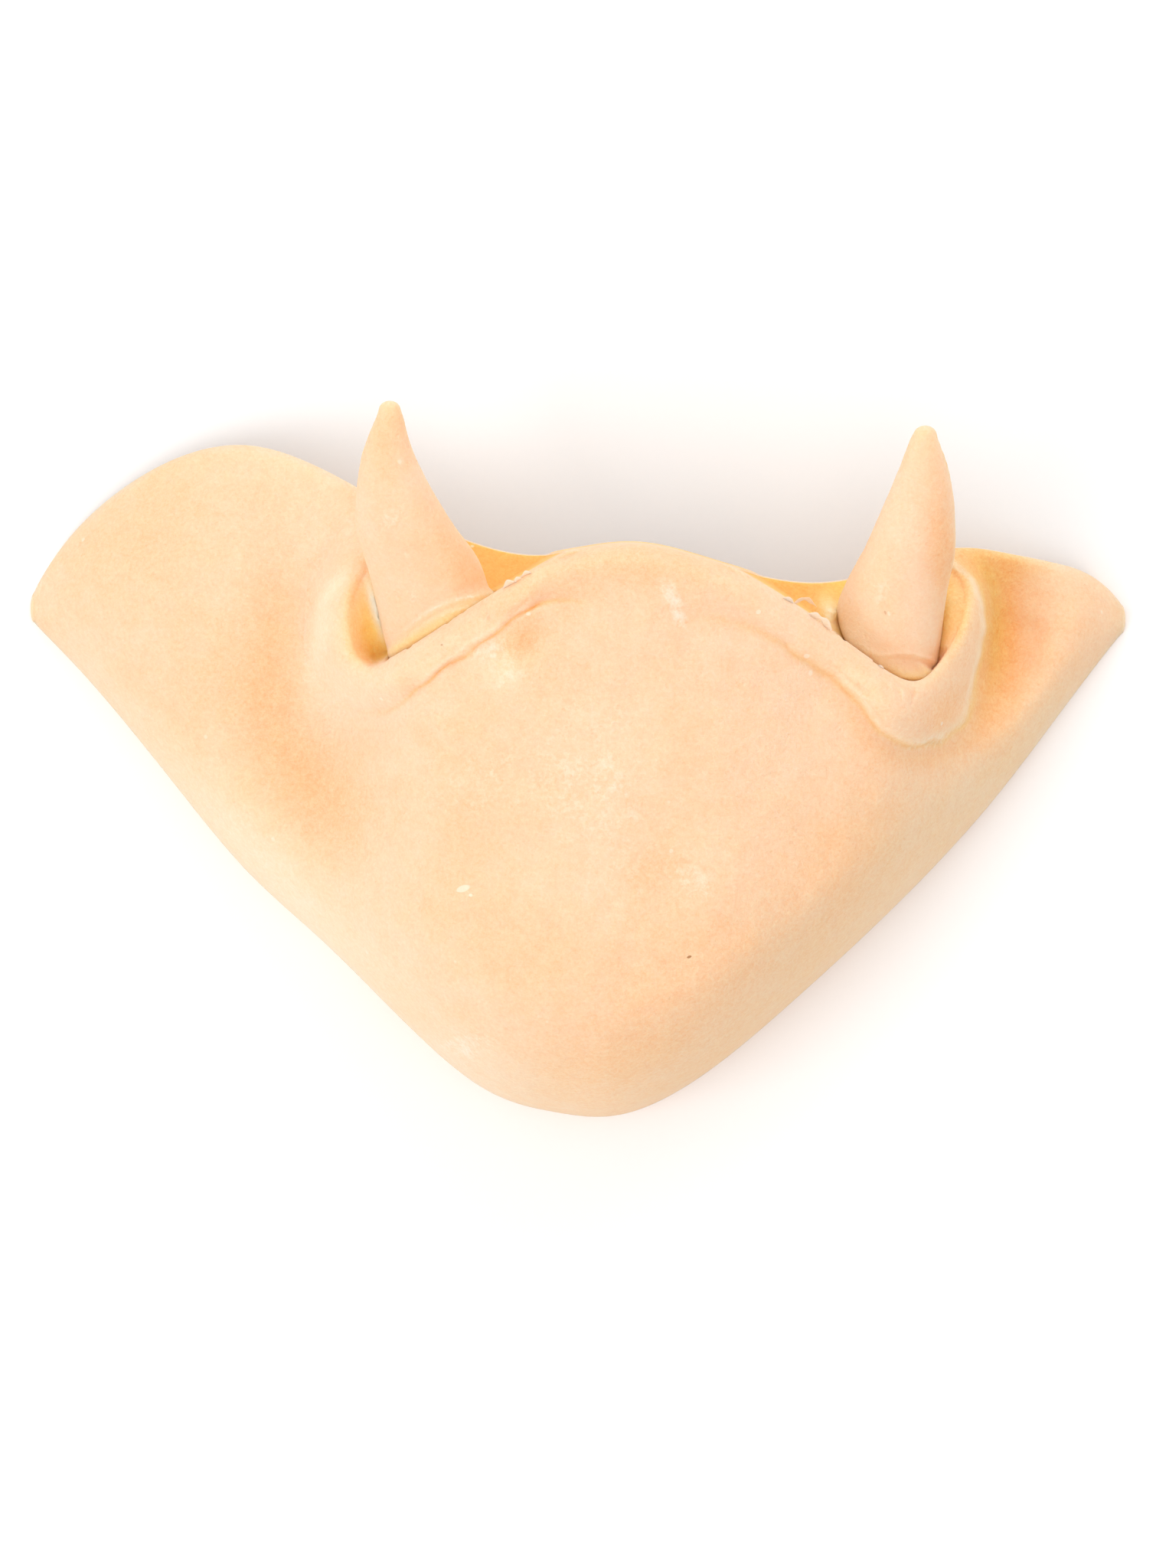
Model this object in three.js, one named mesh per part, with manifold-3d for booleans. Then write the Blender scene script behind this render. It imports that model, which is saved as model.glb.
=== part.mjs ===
// Latex chin piece with two tusks, worn over the lower lip, chin and jaw.
// It lies face up on the rim that is glued along the jaw, open side down.
// Millimetres: X runs across the face, Y from the chin towards the mouth, Z out of the face.
// Left and right are as seen by someone who looks at the face.

import * as THREE from "three";
import loadManifold from "manifold-3d";

const { smoothstep, clamp, degToRad } = THREE.MathUtils;

// Walls and clearances
const RIM_WALL = 1.5; // the skin at its glued edges, along a section
const BODY_WALL = 2.4; // the skin away from its edges, straight down
const WALL_TAPER = 12; // distance from an edge at which the skin has its full thickness
const RIM_TURN = 3; // distance from the jaw rim over which the wall's foot turns level
const FOOT_SHARE = 0.12; // near the tips the wall's foot is at most this share of a section
const TURN_SHARE = 0.4; // and its turn at most this share
// Towards a tip the hollow runs out between these two lengths of a section.
const RUN_OUT_START = 20;
const RUN_OUT_END = 7;
const SOCKET_GAP = 0.3; // clearance between a tusk and its socket

// Round-over of the jaw edge: 2 would be a quarter of an ellipse
const ROUND_OVER_POWER = 2.2;

// The gum is the floor behind the lip. It climbs from the mouth rim and then runs level.
const GUM_SLOPE = 0.45;
const GUM_RISE = 4.0;

// The lip's edge drops to the gum over LIP_WALL and is rounded by LIP_ROUND at most.
const LIP_WALL = 1.0;
const LIP_ROUND = 2.2;
const CREASE_WIDTH = 0.8; // the crease under the lip's roll

// The hollow's roof passes under the gum and climbs to the face between these two distances from
// the lip's edge, so the lip is thick and the tusks' sockets stay blind.
const ROOF_STEP_START = 3;
const ROOF_STEP_END = 12;
const ROOF_SLOPE = 0.15;
const ROOF_RISE = 1.5;

// Sections across the piece, from the left tip to the right tip. Each runs straight, in plan, from
// the jaw rim to the mouth rim. Its five heights stand at even steps along it.
// Columns: jawX, jawY, mouthX, mouthY, rimHeight, roundOver, then the five heights.
const SECTIONS = [
  [-59.2, 14.6, -59.2, 17.8, 1.4, 1.7, 1.4, 1.5, 1.5, 1.5, 1.4],
  [-57.3, 12.6, -57.6, 20.6, 2.0, 2.8, 2.6, 3.4, 3.6, 3.0, 2.0],
  [-52.0, 6.9, -53.0, 26.2, 3.0, 5.0, 5.5, 7.5, 8.5, 7.0, 3.0],
  [-44.0, -2.9, -45.0, 31.7, 5.5, 7.0, 9.5, 12.5, 13.5, 11.5, 5.5],
  [-36.0, -12.5, -36.0, 33.7, 8.0, 8.0, 13.5, 16.5, 16.5, 14.0, 8.0],
  [-28.0, -19.9, -27.0, 30.7, 10.5, 9.0, 18.0, 19.0, 17.0, 15.0, 11.0],
  [-19.5, -28.3, -17.5, 25.6, 14.0, 11.0, 25.0, 28.0, 28.5, 28.0, 16.0],
  [-10.5, -36.0, -8.5, 22.1, 17.5, 13.0, 30.0, 33.0, 33.5, 34.0, 33.0],
  [-2.5, -38.7, -1.5, 21.8, 20.0, 14.0, 32.0, 34.5, 35.0, 35.5, 36.0],
  [5.0, -38.9, 7.0, 22.6, 20.5, 14.0, 32.0, 34.5, 35.0, 36.0, 37.0],
  [14.0, -34.4, 17.5, 19.9, 18.5, 13.0, 30.5, 33.5, 34.0, 34.5, 35.0],
  [24.0, -26.1, 28.5, 18.9, 15.0, 12.0, 26.0, 29.5, 30.5, 30.5, 28.0],
  [34.0, -16.8, 39.0, 22.2, 12.0, 11.0, 20.0, 24.0, 25.5, 24.0, 14.0],
  [44.0, -6.2, 46.5, 22.0, 9.0, 9.0, 12.5, 13.5, 11.5, 9.5, 9.0],
  [52.0, 4.1, 53.0, 20.6, 5.5, 6.0, 6.5, 8.5, 9.0, 8.0, 5.5],
  [57.3, 11.1, 57.2, 18.5, 2.5, 2.8, 2.8, 3.8, 4.2, 3.6, 2.5],
  [59.2, 13.4, 59.2, 16.4, 1.4, 1.7, 1.4, 1.5, 1.5, 1.5, 1.4],
];
const HEIGHT_STEPS = [0, 0.25, 0.5, 0.75, 1];

// The lip's edge in plan: down the fold left of the left tusk, along the lip, and up the collar
// right of the right tusk. It starts and ends beyond the mouth rim.
// Columns: x, y, roll height, distance of the roll's crest, length of its flank, crease depth.
const LIP_EDGE = [
  [-19.0, 30.0, 0.0, 2.0, 4.0, 0.0],
  [-21.0, 23.0, 0.4, 2.0, 4.0, 0.0],
  [-23.4, 19.8, 1.8, 2.0, 4.0, 0.0],
  [-24.7, 16.5, 3.2, 2.0, 4.0, 0.0],
  [-24.6, 13.0, 4.0, 2.2, 4.0, 0.0],
  [-22.8, 9.9, 3.6, 2.4, 4.0, 0.2],
  [-18.5, 11.2, 3.0, 2.2, 2.4, 0.7],
  [-11.5, 15.7, 2.4, 2.0, 2.0, 0.7],
  [-5.5, 19.3, 1.8, 2.0, 2.4, 0.4],
  [-1.0, 22.0, 1.0, 2.4, 4.0, 0.0],
  [5.8, 23.4, 0.6, 2.6, 6.0, 0.0],
  [12.0, 22.4, 0.6, 2.6, 6.0, 0.0],
  [18.2, 19.4, 1.0, 2.4, 4.0, 0.1],
  [24.0, 15.8, 1.8, 2.4, 3.0, 0.3],
  [29.0, 12.2, 2.6, 2.8, 2.8, 0.4],
  [33.2, 9.3, 3.4, 3.4, 2.8, 0.3],
  [37.4, 8.3, 4.5, 4.0, 3.4, 0.0],
  [40.4, 11.2, 5.5, 3.0, 2.6, 0.0],
  [41.6, 15.5, 4.5, 2.4, 2.2, 0.0],
  [41.8, 19.0, 1.6, 2.2, 2.2, 0.0],
  [41.8, 26.0, 0.0, 2.0, 2.2, 0.0],
];
const LIP_SAMPLES = 400;

// Dents and swellings of the face, each a bell of the given half length and half width.
// Columns: x, y, half length, half width, turn in degrees, height.
const FORMS = [
  [-30.0, 2.0, 14.0, 6.0, 112, -2.4], // valley of the left cheek
  [46.2, 12.0, 8.0, 2.2, 82, -2.0], // valley of the right cheek
  [10.2, -12.5, 4.0, 3.0, 80, -1.0], // dimple of the chin
  [-7.5, 9.5, 3.0, 2.4, 40, 0.7], // swelling under the lip
  [-5.0, 12.3, 2.2, 1.4, 40, -0.9], // pucker beside the swelling
  [-8.0, -10.0, 14.0, 4.0, 0, -0.6], // soft fold across the chin
];

// Sections of the tusks from foot to tip.
// Columns: x, y, z of the axis, half width across X, half depth across Z.
const LEFT_TUSK = [
  [-15.0, 11.0, 21.8, 4.6, 3.6],
  [-15.3, 14.5, 23.0, 5.8, 5.0],
  [-16.3, 19.8, 25.0, 6.2, 5.2],
  [-18.4, 24.5, 27.0, 5.3, 4.7],
  [-19.8, 28.8, 28.8, 4.0, 3.7],
  [-20.6, 33.0, 30.6, 2.75, 2.7],
  [-20.7, 36.6, 32.2, 1.65, 1.7],
  [-20.6, 38.0, 32.8, 1.2, 1.2],
];
const RIGHT_TUSK = [
  [36.4, 11.2, 19.6, 2.8, 2.8],
  [35.2, 13.2, 20.4, 4.3, 4.0],
  [34.6, 16.6, 21.8, 5.4, 4.9],
  [35.3, 20.6, 23.6, 5.1, 4.7],
  [36.6, 25.0, 25.6, 4.25, 4.1],
  [37.4, 29.4, 27.6, 3.15, 3.2],
  [37.65, 33.2, 29.4, 2.0, 2.0],
  [37.75, 35.2, 30.2, 1.2, 1.2],
];
const FOOT_ROUND = 1.6; // how far the round foot stands out past its last section
const TIP_ROUND = 1.1;

// Facets of the shell. Columns stand closer round the tusks' pockets, in steps of the section table.
// Rows gather where the jaw edge rounds over, on the lip's roll and on the drop to the gum.
// Columns: the section that a band ends at, and its steps.
const COLUMN_BANDS = [[5, 18], [6.5, 16], [11, 22], [13, 20], [16, 10]];
const FACE_ROWS = { roundOver: 7, face: 8, roll: 9, drop: 4, gum: 6 };
const HOLLOW_ROWS = { roundOver: 4, face: 3, step: 5, gum: 3 };
const ROUND_OVER_SHARE = 0.14; // of the way from the jaw rim to the lip's edge
const ROLL_BAND = 7; // the roll's rows reach this far down from the lip's edge
const MOUTH_MARGIN = 1; // the lip's rows stay this far from the mouth rim
const CROSSING_STEPS = 120;
const SLOPE_STEP = 0.002; // share of a section over which its slope is taken

// Facets of the tusks
const TUSK_STEPS = 13;
const TUSK_SIDES = 18;
const CAP_STEPS = 3;

// A natural cubic spline through the rows of a table, column by column.
function naturalSpline(knots, rows) {
  const last = knots.length - 1;
  const columns = rows[0].map((_, c) => c);
  const bends = rows.map(() => columns.map(() => 0));
  const ratios = knots.map(() => 0);
  for (let i = 1; i < last; i++) {
    const before = knots[i] - knots[i - 1];
    const after = knots[i + 1] - knots[i];
    const pivot = 2 * (before + after) - before * ratios[i - 1];
    ratios[i] = after / pivot;
    for (const c of columns) {
      const turn = (rows[i + 1][c] - rows[i][c]) / after - (rows[i][c] - rows[i - 1][c]) / before;
      bends[i][c] = (6 * turn - before * bends[i - 1][c]) / pivot;
    }
  }
  for (let i = last - 1; i > 0; i--) {
    for (const c of columns) bends[i][c] -= ratios[i] * bends[i + 1][c];
  }
  return (at) => {
    let i = 0;
    while (i < last - 1 && at > knots[i + 1]) i++;
    const span = knots[i + 1] - knots[i];
    const a = (knots[i + 1] - at) / span;
    const b = 1 - a;
    const lift = (span * span) / 6;
    return columns.map((c) => a * rows[i][c] + b * rows[i + 1][c]
      + lift * ((a ** 3 - a) * bends[i][c] + (b ** 3 - b) * bends[i + 1][c]));
  };
}

const sectionAt = naturalSpline(SECTIONS.map((_, i) => i), SECTIONS);

// The lip's edge as even samples, each with its direction.
function sampleLipEdge() {
  const lengths = [0];
  for (let i = 1; i < LIP_EDGE.length; i++) {
    const step = Math.hypot(LIP_EDGE[i][0] - LIP_EDGE[i - 1][0], LIP_EDGE[i][1] - LIP_EDGE[i - 1][1]);
    lengths.push(lengths[i - 1] + step);
  }
  const edgeAt = naturalSpline(lengths, LIP_EDGE);
  const total = lengths[lengths.length - 1];
  const samples = [];
  for (let i = 0; i <= LIP_SAMPLES; i++) {
    const [x, y, roll, crest, flank, crease] = edgeAt((total * i) / LIP_SAMPLES);
    samples.push({ x, y, roll: Math.max(roll, 0), crest, flank, crease: Math.max(crease, 0) });
  }
  samples.forEach((sample, i) => {
    const from = samples[Math.max(i - 1, 0)];
    const to = samples[Math.min(i + 1, LIP_SAMPLES)];
    sample.along = new THREE.Vector2(to.x - from.x, to.y - from.y).normalize();
  });
  return samples;
}

const lipSamples = sampleLipEdge();

// The nearest sample of the lip's edge, and the distance to it: above zero on the face's side.
function fromLipEdge(x, y) {
  let nearest = lipSamples[0];
  let least = Infinity;
  for (const sample of lipSamples) {
    const distance = (x - sample.x) ** 2 + (y - sample.y) ** 2;
    if (distance < least) {
      least = distance;
      nearest = sample;
    }
  }
  const { along } = nearest;
  const turn = along.x * (y - nearest.y) - along.y * (x - nearest.x);
  return { nearest, distance: -Math.sign(turn) * Math.sqrt(least) };
}

// Where the point (u, v) lies: u counts sections from the left tip, v runs from the jaw rim at 0 to the
// mouth rim at 1.
function placeAt(u, v) {
  const [jawX, jawY, mouthX, mouthY, rimHeight, roundOver, ...heights] = sectionAt(u);
  const length = Math.hypot(mouthX - jawX, mouthY - jawY);
  const [plateau] = naturalSpline(HEIGHT_STEPS, heights.map((height) => [height]))(v);
  const inwards = clamp((v * length) / roundOver, 0, 1);
  const rounding = Math.sqrt(1 - (1 - inwards) ** ROUND_OVER_POWER);
  const x = jawX + (mouthX - jawX) * v;
  const y = jawY + (mouthY - jawY) * v;
  const fromJaw = v * length;
  const fromMouth = (1 - v) * length;
  const along = new THREE.Vector2(mouthX - jawX, mouthY - jawY).normalize();
  return { x, y, along, rimHeight, roundOver, rounding, fromJaw, fromMouth, face: plateau * rounding };
}

// The face with its dents and swellings at a place.
function faceAt({ x, y, face, rounding }) {
  let height = 0;
  for (const [formX, formY, halfLength, halfWidth, turn, rise] of FORMS) {
    const offset = new THREE.Vector2(x - formX, y - formY);
    offset.rotateAround(new THREE.Vector2(), -degToRad(turn));
    height += rise * Math.exp(-((offset.x / halfLength) ** 2) - (offset.y / halfWidth) ** 2);
  }
  return face + height * rounding;
}

// The outer skin: the face with its forms, the lip's roll, and the drop to the gum behind it.
function outerPoint(u, v) {
  const place = placeAt(u, v);
  const { nearest, distance } = fromLipEdge(place.x, place.y);
  const { roll, crest, flank, crease } = nearest;
  const face = faceAt(place);
  const downFlank = clamp((distance - crest) / flank, 0, 1);
  const towardsEdge = clamp((crest - distance) / crest, 0, 1);
  const swell = roll * (1 - downFlank ** 2) ** 2;
  const roundEdge = Math.min(crest, LIP_ROUND) * (1 - Math.sqrt(1 - towardsEdge ** 2));
  const groove = crease * Math.exp(-(((distance - crest - flank) / CREASE_WIDTH) ** 2));
  const lip = face + swell - roundEdge - groove;
  const gum = place.rimHeight + Math.min(GUM_SLOPE * place.fromMouth, GUM_RISE);
  const z = gum + (lip - gum) * smoothstep(distance, -LIP_WALL, 0);
  return new THREE.Vector3(place.x, place.y, z);
}

// The plain form under the skin that the hollow's roof is set off from.
function plainPoint(u, v) {
  const place = placeAt(clamp(u, 0, SECTIONS.length - 1), clamp(v, 0, 1));
  const { distance } = fromLipEdge(place.x, place.y);
  const gum = place.rimHeight + Math.min(ROOF_SLOPE * place.fromMouth, ROOF_RISE);
  const z = gum + (faceAt(place) - gum) * smoothstep(distance, ROOF_STEP_START, ROOF_STEP_END);
  return new THREE.Vector3(place.x, place.y, z);
}

// The inner skin: one wall thickness inside the plain form, within the section's own plane. The wall is
// measured level at the jaw rim, square to the skin where the jaw edge rounds over, and straight down
// from there on. Nothing goes below the floor, and towards the tips the roof comes down to it.
function innerPoint(u, v) {
  const { along, fromJaw, fromMouth, roundOver } = placeAt(u, v);
  const climb = plainPoint(u, v + SLOPE_STEP).sub(plainPoint(u, v - SLOPE_STEP));
  const square = new THREE.Vector2(-climb.z, Math.hypot(climb.x, climb.y)).normalize();
  const level = new THREE.Vector2(-1, 0);
  const down = new THREE.Vector2(0, 1);
  const length = fromJaw + fromMouth;
  const turn = Math.min(RIM_TURN, TURN_SHARE * length);
  const way = level.lerp(square, smoothstep(fromJaw, 0, turn)).normalize();
  way.lerp(down, smoothstep(fromJaw, roundOver / 2, roundOver));
  const full = smoothstep(Math.min(fromJaw, fromMouth), 0, WALL_TAPER);
  const wall = RIM_WALL + (BODY_WALL - RIM_WALL) * full;
  const { x, y, z } = plainPoint(u, v);
  const inset = -Math.min(wall, FOOT_SHARE * length) * way.x;
  const roof = Math.max(z - wall * way.y, 0) * smoothstep(length, RUN_OUT_END, RUN_OUT_START);
  return new THREE.Vector3(x + inset * along.x, y + inset * along.y, roof);
}

// Values from the first stop to the last, with the given number of even steps in each band.
function bandedSteps(stops, counts) {
  const values = [stops[0]];
  counts.forEach((count, i) => {
    const span = stops[i + 1] - stops[i];
    for (let k = 1; k <= count; k++) values.push(stops[i] + (span * k) / count);
  });
  return values;
}

// Where a section first meets the lip's edge on its way from the jaw, or null where it never does.
function lipCrossing(u) {
  let before = null;
  for (let k = 0; k <= CROSSING_STEPS; k++) {
    const v = k / CROSSING_STEPS;
    const { x, y } = placeAt(u, v);
    const { distance } = fromLipEdge(x, y);
    if (distance < 0) return v - (distance / (distance - before)) / CROSSING_STEPS;
    before = distance;
  }
  return null;
}

// The lip's place along each section. Sections beyond the pockets take it from the nearest one that
// meets the lip's edge, and between the pockets the lip itself reaches the mouth rim.
function lipPlaces(columns) {
  const crossings = columns.map(lipCrossing);
  const first = crossings.findIndex((crossing) => crossing !== null);
  const last = crossings.findLastIndex((crossing) => crossing !== null);
  return crossings.map((_, i) => crossings[clamp(i, first, last)] ?? 1);
}

// The rows of one column, from the jaw rim to the mouth rim, for the face and for the hollow's roof.
function rowsOf(u, lipPlace) {
  const { fromMouth: length } = placeAt(u, 0);
  const lip = Math.min(lipPlace * length, length - Math.min(MOUTH_MARGIN, length / 4));
  const rounded = ROUND_OVER_SHARE * lip;
  const roll = lip - Math.min(ROLL_BAND, lip / 3);
  const foot = lip + Math.min(LIP_WALL, (length - lip) / 2);
  const stepLow = lip - Math.min(ROOF_STEP_END, lip / 2);
  const stepHigh = lip - Math.min(ROOF_STEP_START, lip / 6);
  const face = bandedSteps([0, rounded, roll, lip, foot, length], Object.values(FACE_ROWS));
  const hollow = bandedSteps([0, rounded, stepLow, stepHigh, length], Object.values(HOLLOW_ROWS));
  return { face: face.map((run) => run / length), hollow: hollow.map((run) => run / length) };
}

// Closed loops of points, joined side by side into a tube. The caps are lists of triangles.
function loftLoops(loops, capStart, capEnd) {
  const size = loops[0].length;
  const triangles = [];
  for (let i = 0; i + 1 < loops.length; i++) {
    for (let j = 0; j < size; j++) {
      const a = i * size + j;
      const b = i * size + ((j + 1) % size);
      triangles.push(a, a + size, b + size, a, b + size, b);
    }
  }
  const end = (loops.length - 1) * size;
  for (const [a, b, c] of capStart) triangles.push(a, b, c);
  for (const [a, b, c] of capEnd) triangles.push(end + a, end + c, end + b);
  return { points: loops.flat(), triangles };
}

// The cap of a loop that goes along one row of points and back along another: a zip between the two.
function zipCap(goCount, backCount) {
  const back = (k) => goCount + backCount - 1 - k;
  const cap = [];
  let i = 0;
  let k = 0;
  while (i < goCount - 1 || k < backCount - 1) {
    const goNext = (i + 1) / (goCount - 1);
    const backNext = (k + 1) / (backCount - 1);
    if (goNext <= backNext) {
      cap.push([i, i + 1, back(k)]);
      i += 1;
    } else {
      cap.push([i, back(k + 1), back(k)]);
      k += 1;
    }
  }
  return cap;
}

// The hollow shell: one loop for each column, over the face and back under the hollow's roof.
function chinShell() {
  const bandEnds = COLUMN_BANDS.map(([end]) => end);
  const bandSteps = COLUMN_BANDS.map(([, steps]) => steps);
  const columns = bandedSteps([0, ...bandEnds], bandSteps);
  const places = lipPlaces(columns);
  const rows = columns.map((u, i) => rowsOf(u, places[i]));
  const loops = columns.map((u, i) => {
    const over = rows[i].face.map((v) => outerPoint(u, v));
    const under = rows[i].hollow.map((v) => innerPoint(u, v));
    return [...over, ...under.reverse()];
  });
  const tipCap = zipCap(rows[0].face.length, rows[0].hollow.length);
  return loftLoops(loops, tipCap, tipCap);
}

// A tusk: elliptical sections along a curved axis, with a round foot and tip.
function tusk(rows, grow = 0) {
  const rowAt = naturalSpline(rows.map((_, i) => i / (rows.length - 1)), rows);
  const axisOf = (row) => new THREE.Vector3(row[0], row[1], row[2]);
  const footWay = axisOf(rows[0]).sub(axisOf(rows[1])).normalize();
  const tipWay = axisOf(rows[rows.length - 1]).sub(axisOf(rows[rows.length - 2])).normalize();
  const loops = [];
  const addLoop = (row, way, stand, turn) => {
    const [x, y, z, halfWidth, halfDepth] = row;
    const centre = new THREE.Vector3(x, y, z).addScaledVector(way, (stand + grow) * Math.sin(turn));
    const loop = [];
    for (let j = 0; j < TUSK_SIDES; j++) {
      const angle = (2 * Math.PI * j) / TUSK_SIDES;
      const across = (halfWidth + grow) * Math.cos(turn) * Math.cos(angle);
      const out = (halfDepth + grow) * Math.cos(turn) * Math.sin(angle);
      loop.push(new THREE.Vector3(centre.x + across, centre.y, centre.z + out));
    }
    loops.push(loop);
  };
  const capTurn = (i) => (Math.PI / 2) * (i / (CAP_STEPS + 1));
  for (let i = CAP_STEPS; i > 0; i--) addLoop(rows[0], footWay, FOOT_ROUND, capTurn(i));
  for (let i = 0; i <= TUSK_STEPS; i++) addLoop(rowAt(i / TUSK_STEPS), tipWay, 0, 0);
  for (let i = 1; i <= CAP_STEPS; i++) addLoop(rows[rows.length - 1], tipWay, TIP_ROUND, capTurn(i));
  const fan = [];
  for (let j = 2; j < TUSK_SIDES; j++) fan.push([0, j - 1, j]);
  return loftLoops(loops, fan, fan);
}

const wasm = await loadManifold();
wasm.setup();

// A closed mesh as a solid that can be cut.
function solidOf({ points, triangles }) {
  const vertProperties = new Float32Array(points.flatMap((point) => point.toArray()));
  const triVerts = new Uint32Array(triangles);
  return new wasm.Manifold(new wasm.Mesh({ numProp: 3, vertProperties, triVerts }));
}

// A named mesh of a solid.
function meshOf(name, solid, material) {
  const { vertProperties, triVerts } = solid.getMesh();
  const geometry = new THREE.BufferGeometry();
  geometry.setAttribute("position", new THREE.BufferAttribute(vertProperties, 3));
  geometry.setIndex(new THREE.BufferAttribute(triVerts, 1));
  geometry.computeVertexNormals();
  const mesh = new THREE.Mesh(geometry, material);
  mesh.name = name;
  return mesh;
}

const skinLatex = new THREE.MeshStandardMaterial({ color: 0xf8d8b2, roughness: 0.62, metalness: 0 });
const tuskLatex = new THREE.MeshStandardMaterial({ color: 0xf9dab2, roughness: 0.52, metalness: 0 });

const shell = solidOf(chinShell())
  .subtract(solidOf(tusk(LEFT_TUSK, SOCKET_GAP)))
  .subtract(solidOf(tusk(RIGHT_TUSK, SOCKET_GAP)));

const chinPiece = new THREE.Group();
chinPiece.add(meshOf("chin_shell", shell, skinLatex));
chinPiece.add(meshOf("tusk_left", solidOf(tusk(LEFT_TUSK)), tuskLatex));
chinPiece.add(meshOf("tusk_right", solidOf(tusk(RIGHT_TUSK)), tuskLatex));

export default chinPiece;
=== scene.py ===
"""Looks of a latex chin piece: a thin cast skin with a rolled lower lip and two blunt tusks.

The piece lies face up on the floor. X runs across the face, Y from the chin towards the mouth and
Z out of the face. The shapes are worked out in millimetres and put into the meshes in metres.
"""

import math
from types import SimpleNamespace

import bpy
import numpy as np
from bpy.props import FloatProperty, FloatVectorProperty, IntProperty, PointerProperty
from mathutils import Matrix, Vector


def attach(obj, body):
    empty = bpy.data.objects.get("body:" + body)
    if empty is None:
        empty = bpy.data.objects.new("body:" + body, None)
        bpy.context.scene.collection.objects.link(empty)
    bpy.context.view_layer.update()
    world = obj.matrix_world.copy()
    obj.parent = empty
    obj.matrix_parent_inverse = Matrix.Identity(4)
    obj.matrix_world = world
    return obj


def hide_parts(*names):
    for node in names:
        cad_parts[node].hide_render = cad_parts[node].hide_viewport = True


bl_info = {
    "name": "Latex chin piece",
    "version": (1, 0, 0),
    "blender": (4, 5, 0),
    "location": "3D View > Sidebar > Chin piece",
    "description": "Builds a latex chin piece with two tusks on its packed frame",
    "category": "Add Mesh",
}

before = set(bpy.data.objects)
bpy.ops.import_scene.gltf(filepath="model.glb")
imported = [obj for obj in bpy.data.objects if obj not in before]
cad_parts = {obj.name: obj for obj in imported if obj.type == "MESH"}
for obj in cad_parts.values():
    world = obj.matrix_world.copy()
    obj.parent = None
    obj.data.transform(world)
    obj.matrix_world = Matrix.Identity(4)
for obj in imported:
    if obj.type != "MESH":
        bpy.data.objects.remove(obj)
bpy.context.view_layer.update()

MM = 0.001

# Sections across the piece from the left tip to the right tip, each straight in plan from the jaw
# rim to the mouth rim. Its five heights stand at even steps along it.
# Columns: jaw x, jaw y, mouth x, mouth y, rim height, round-over, then the five heights.
SECTIONS = np.array([
    [-59.2, 14.6, -59.2, 17.8, 1.4, 1.7, 1.4, 1.5, 1.5, 1.5, 1.4],
    [-57.3, 12.6, -57.6, 20.6, 2, 2.8, 2.6, 3.4, 3.6, 3, 2],
    [-52, 6.9, -53, 26.2, 3, 5, 5.5, 7.5, 8.5, 7, 3],
    [-44, -2.9, -45, 31.7, 5.5, 7, 9.5, 12.5, 13.5, 11.5, 5.5],
    [-36, -12.5, -36, 33.7, 8, 8, 13.5, 16.5, 16.5, 14, 8],
    [-28, -19.9, -27, 30.7, 10.5, 9, 18, 19, 17, 15, 11],
    [-19.5, -28.3, -17.5, 25.6, 14, 11, 25, 28, 28.5, 28, 16],
    [-10.5, -36, -8.5, 22.1, 17.5, 13, 30, 33, 33.5, 34, 33],
    [-2.5, -38.7, -1.5, 21.8, 20, 14, 32, 34.5, 35, 35.5, 36],
    [5, -38.9, 7, 22.6, 20.5, 14, 32, 34.5, 35, 36, 37],
    [14, -34.4, 17.5, 19.9, 18.5, 13, 30.5, 33.5, 34, 34.5, 35],
    [24, -26.1, 28.5, 18.9, 15, 12, 26, 29.5, 30.5, 30.5, 28],
    [34, -16.8, 39, 22.2, 12, 11, 20, 24, 25.5, 24, 14],
    [44, -6.2, 46.5, 22, 9, 9, 12.5, 13.5, 11.5, 9.5, 9],
    [52, 4.1, 53, 20.6, 5.5, 6, 6.5, 8.5, 9, 8, 5.5],
    [57.3, 11.1, 57.2, 18.5, 2.5, 2.8, 2.8, 3.8, 4.2, 3.6, 2.5],
    [59.2, 13.4, 59.2, 16.4, 1.4, 1.7, 1.4, 1.5, 1.5, 1.5, 1.4],
])
HEIGHT_STEPS = [0, 0.25, 0.5, 0.75, 1]

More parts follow.
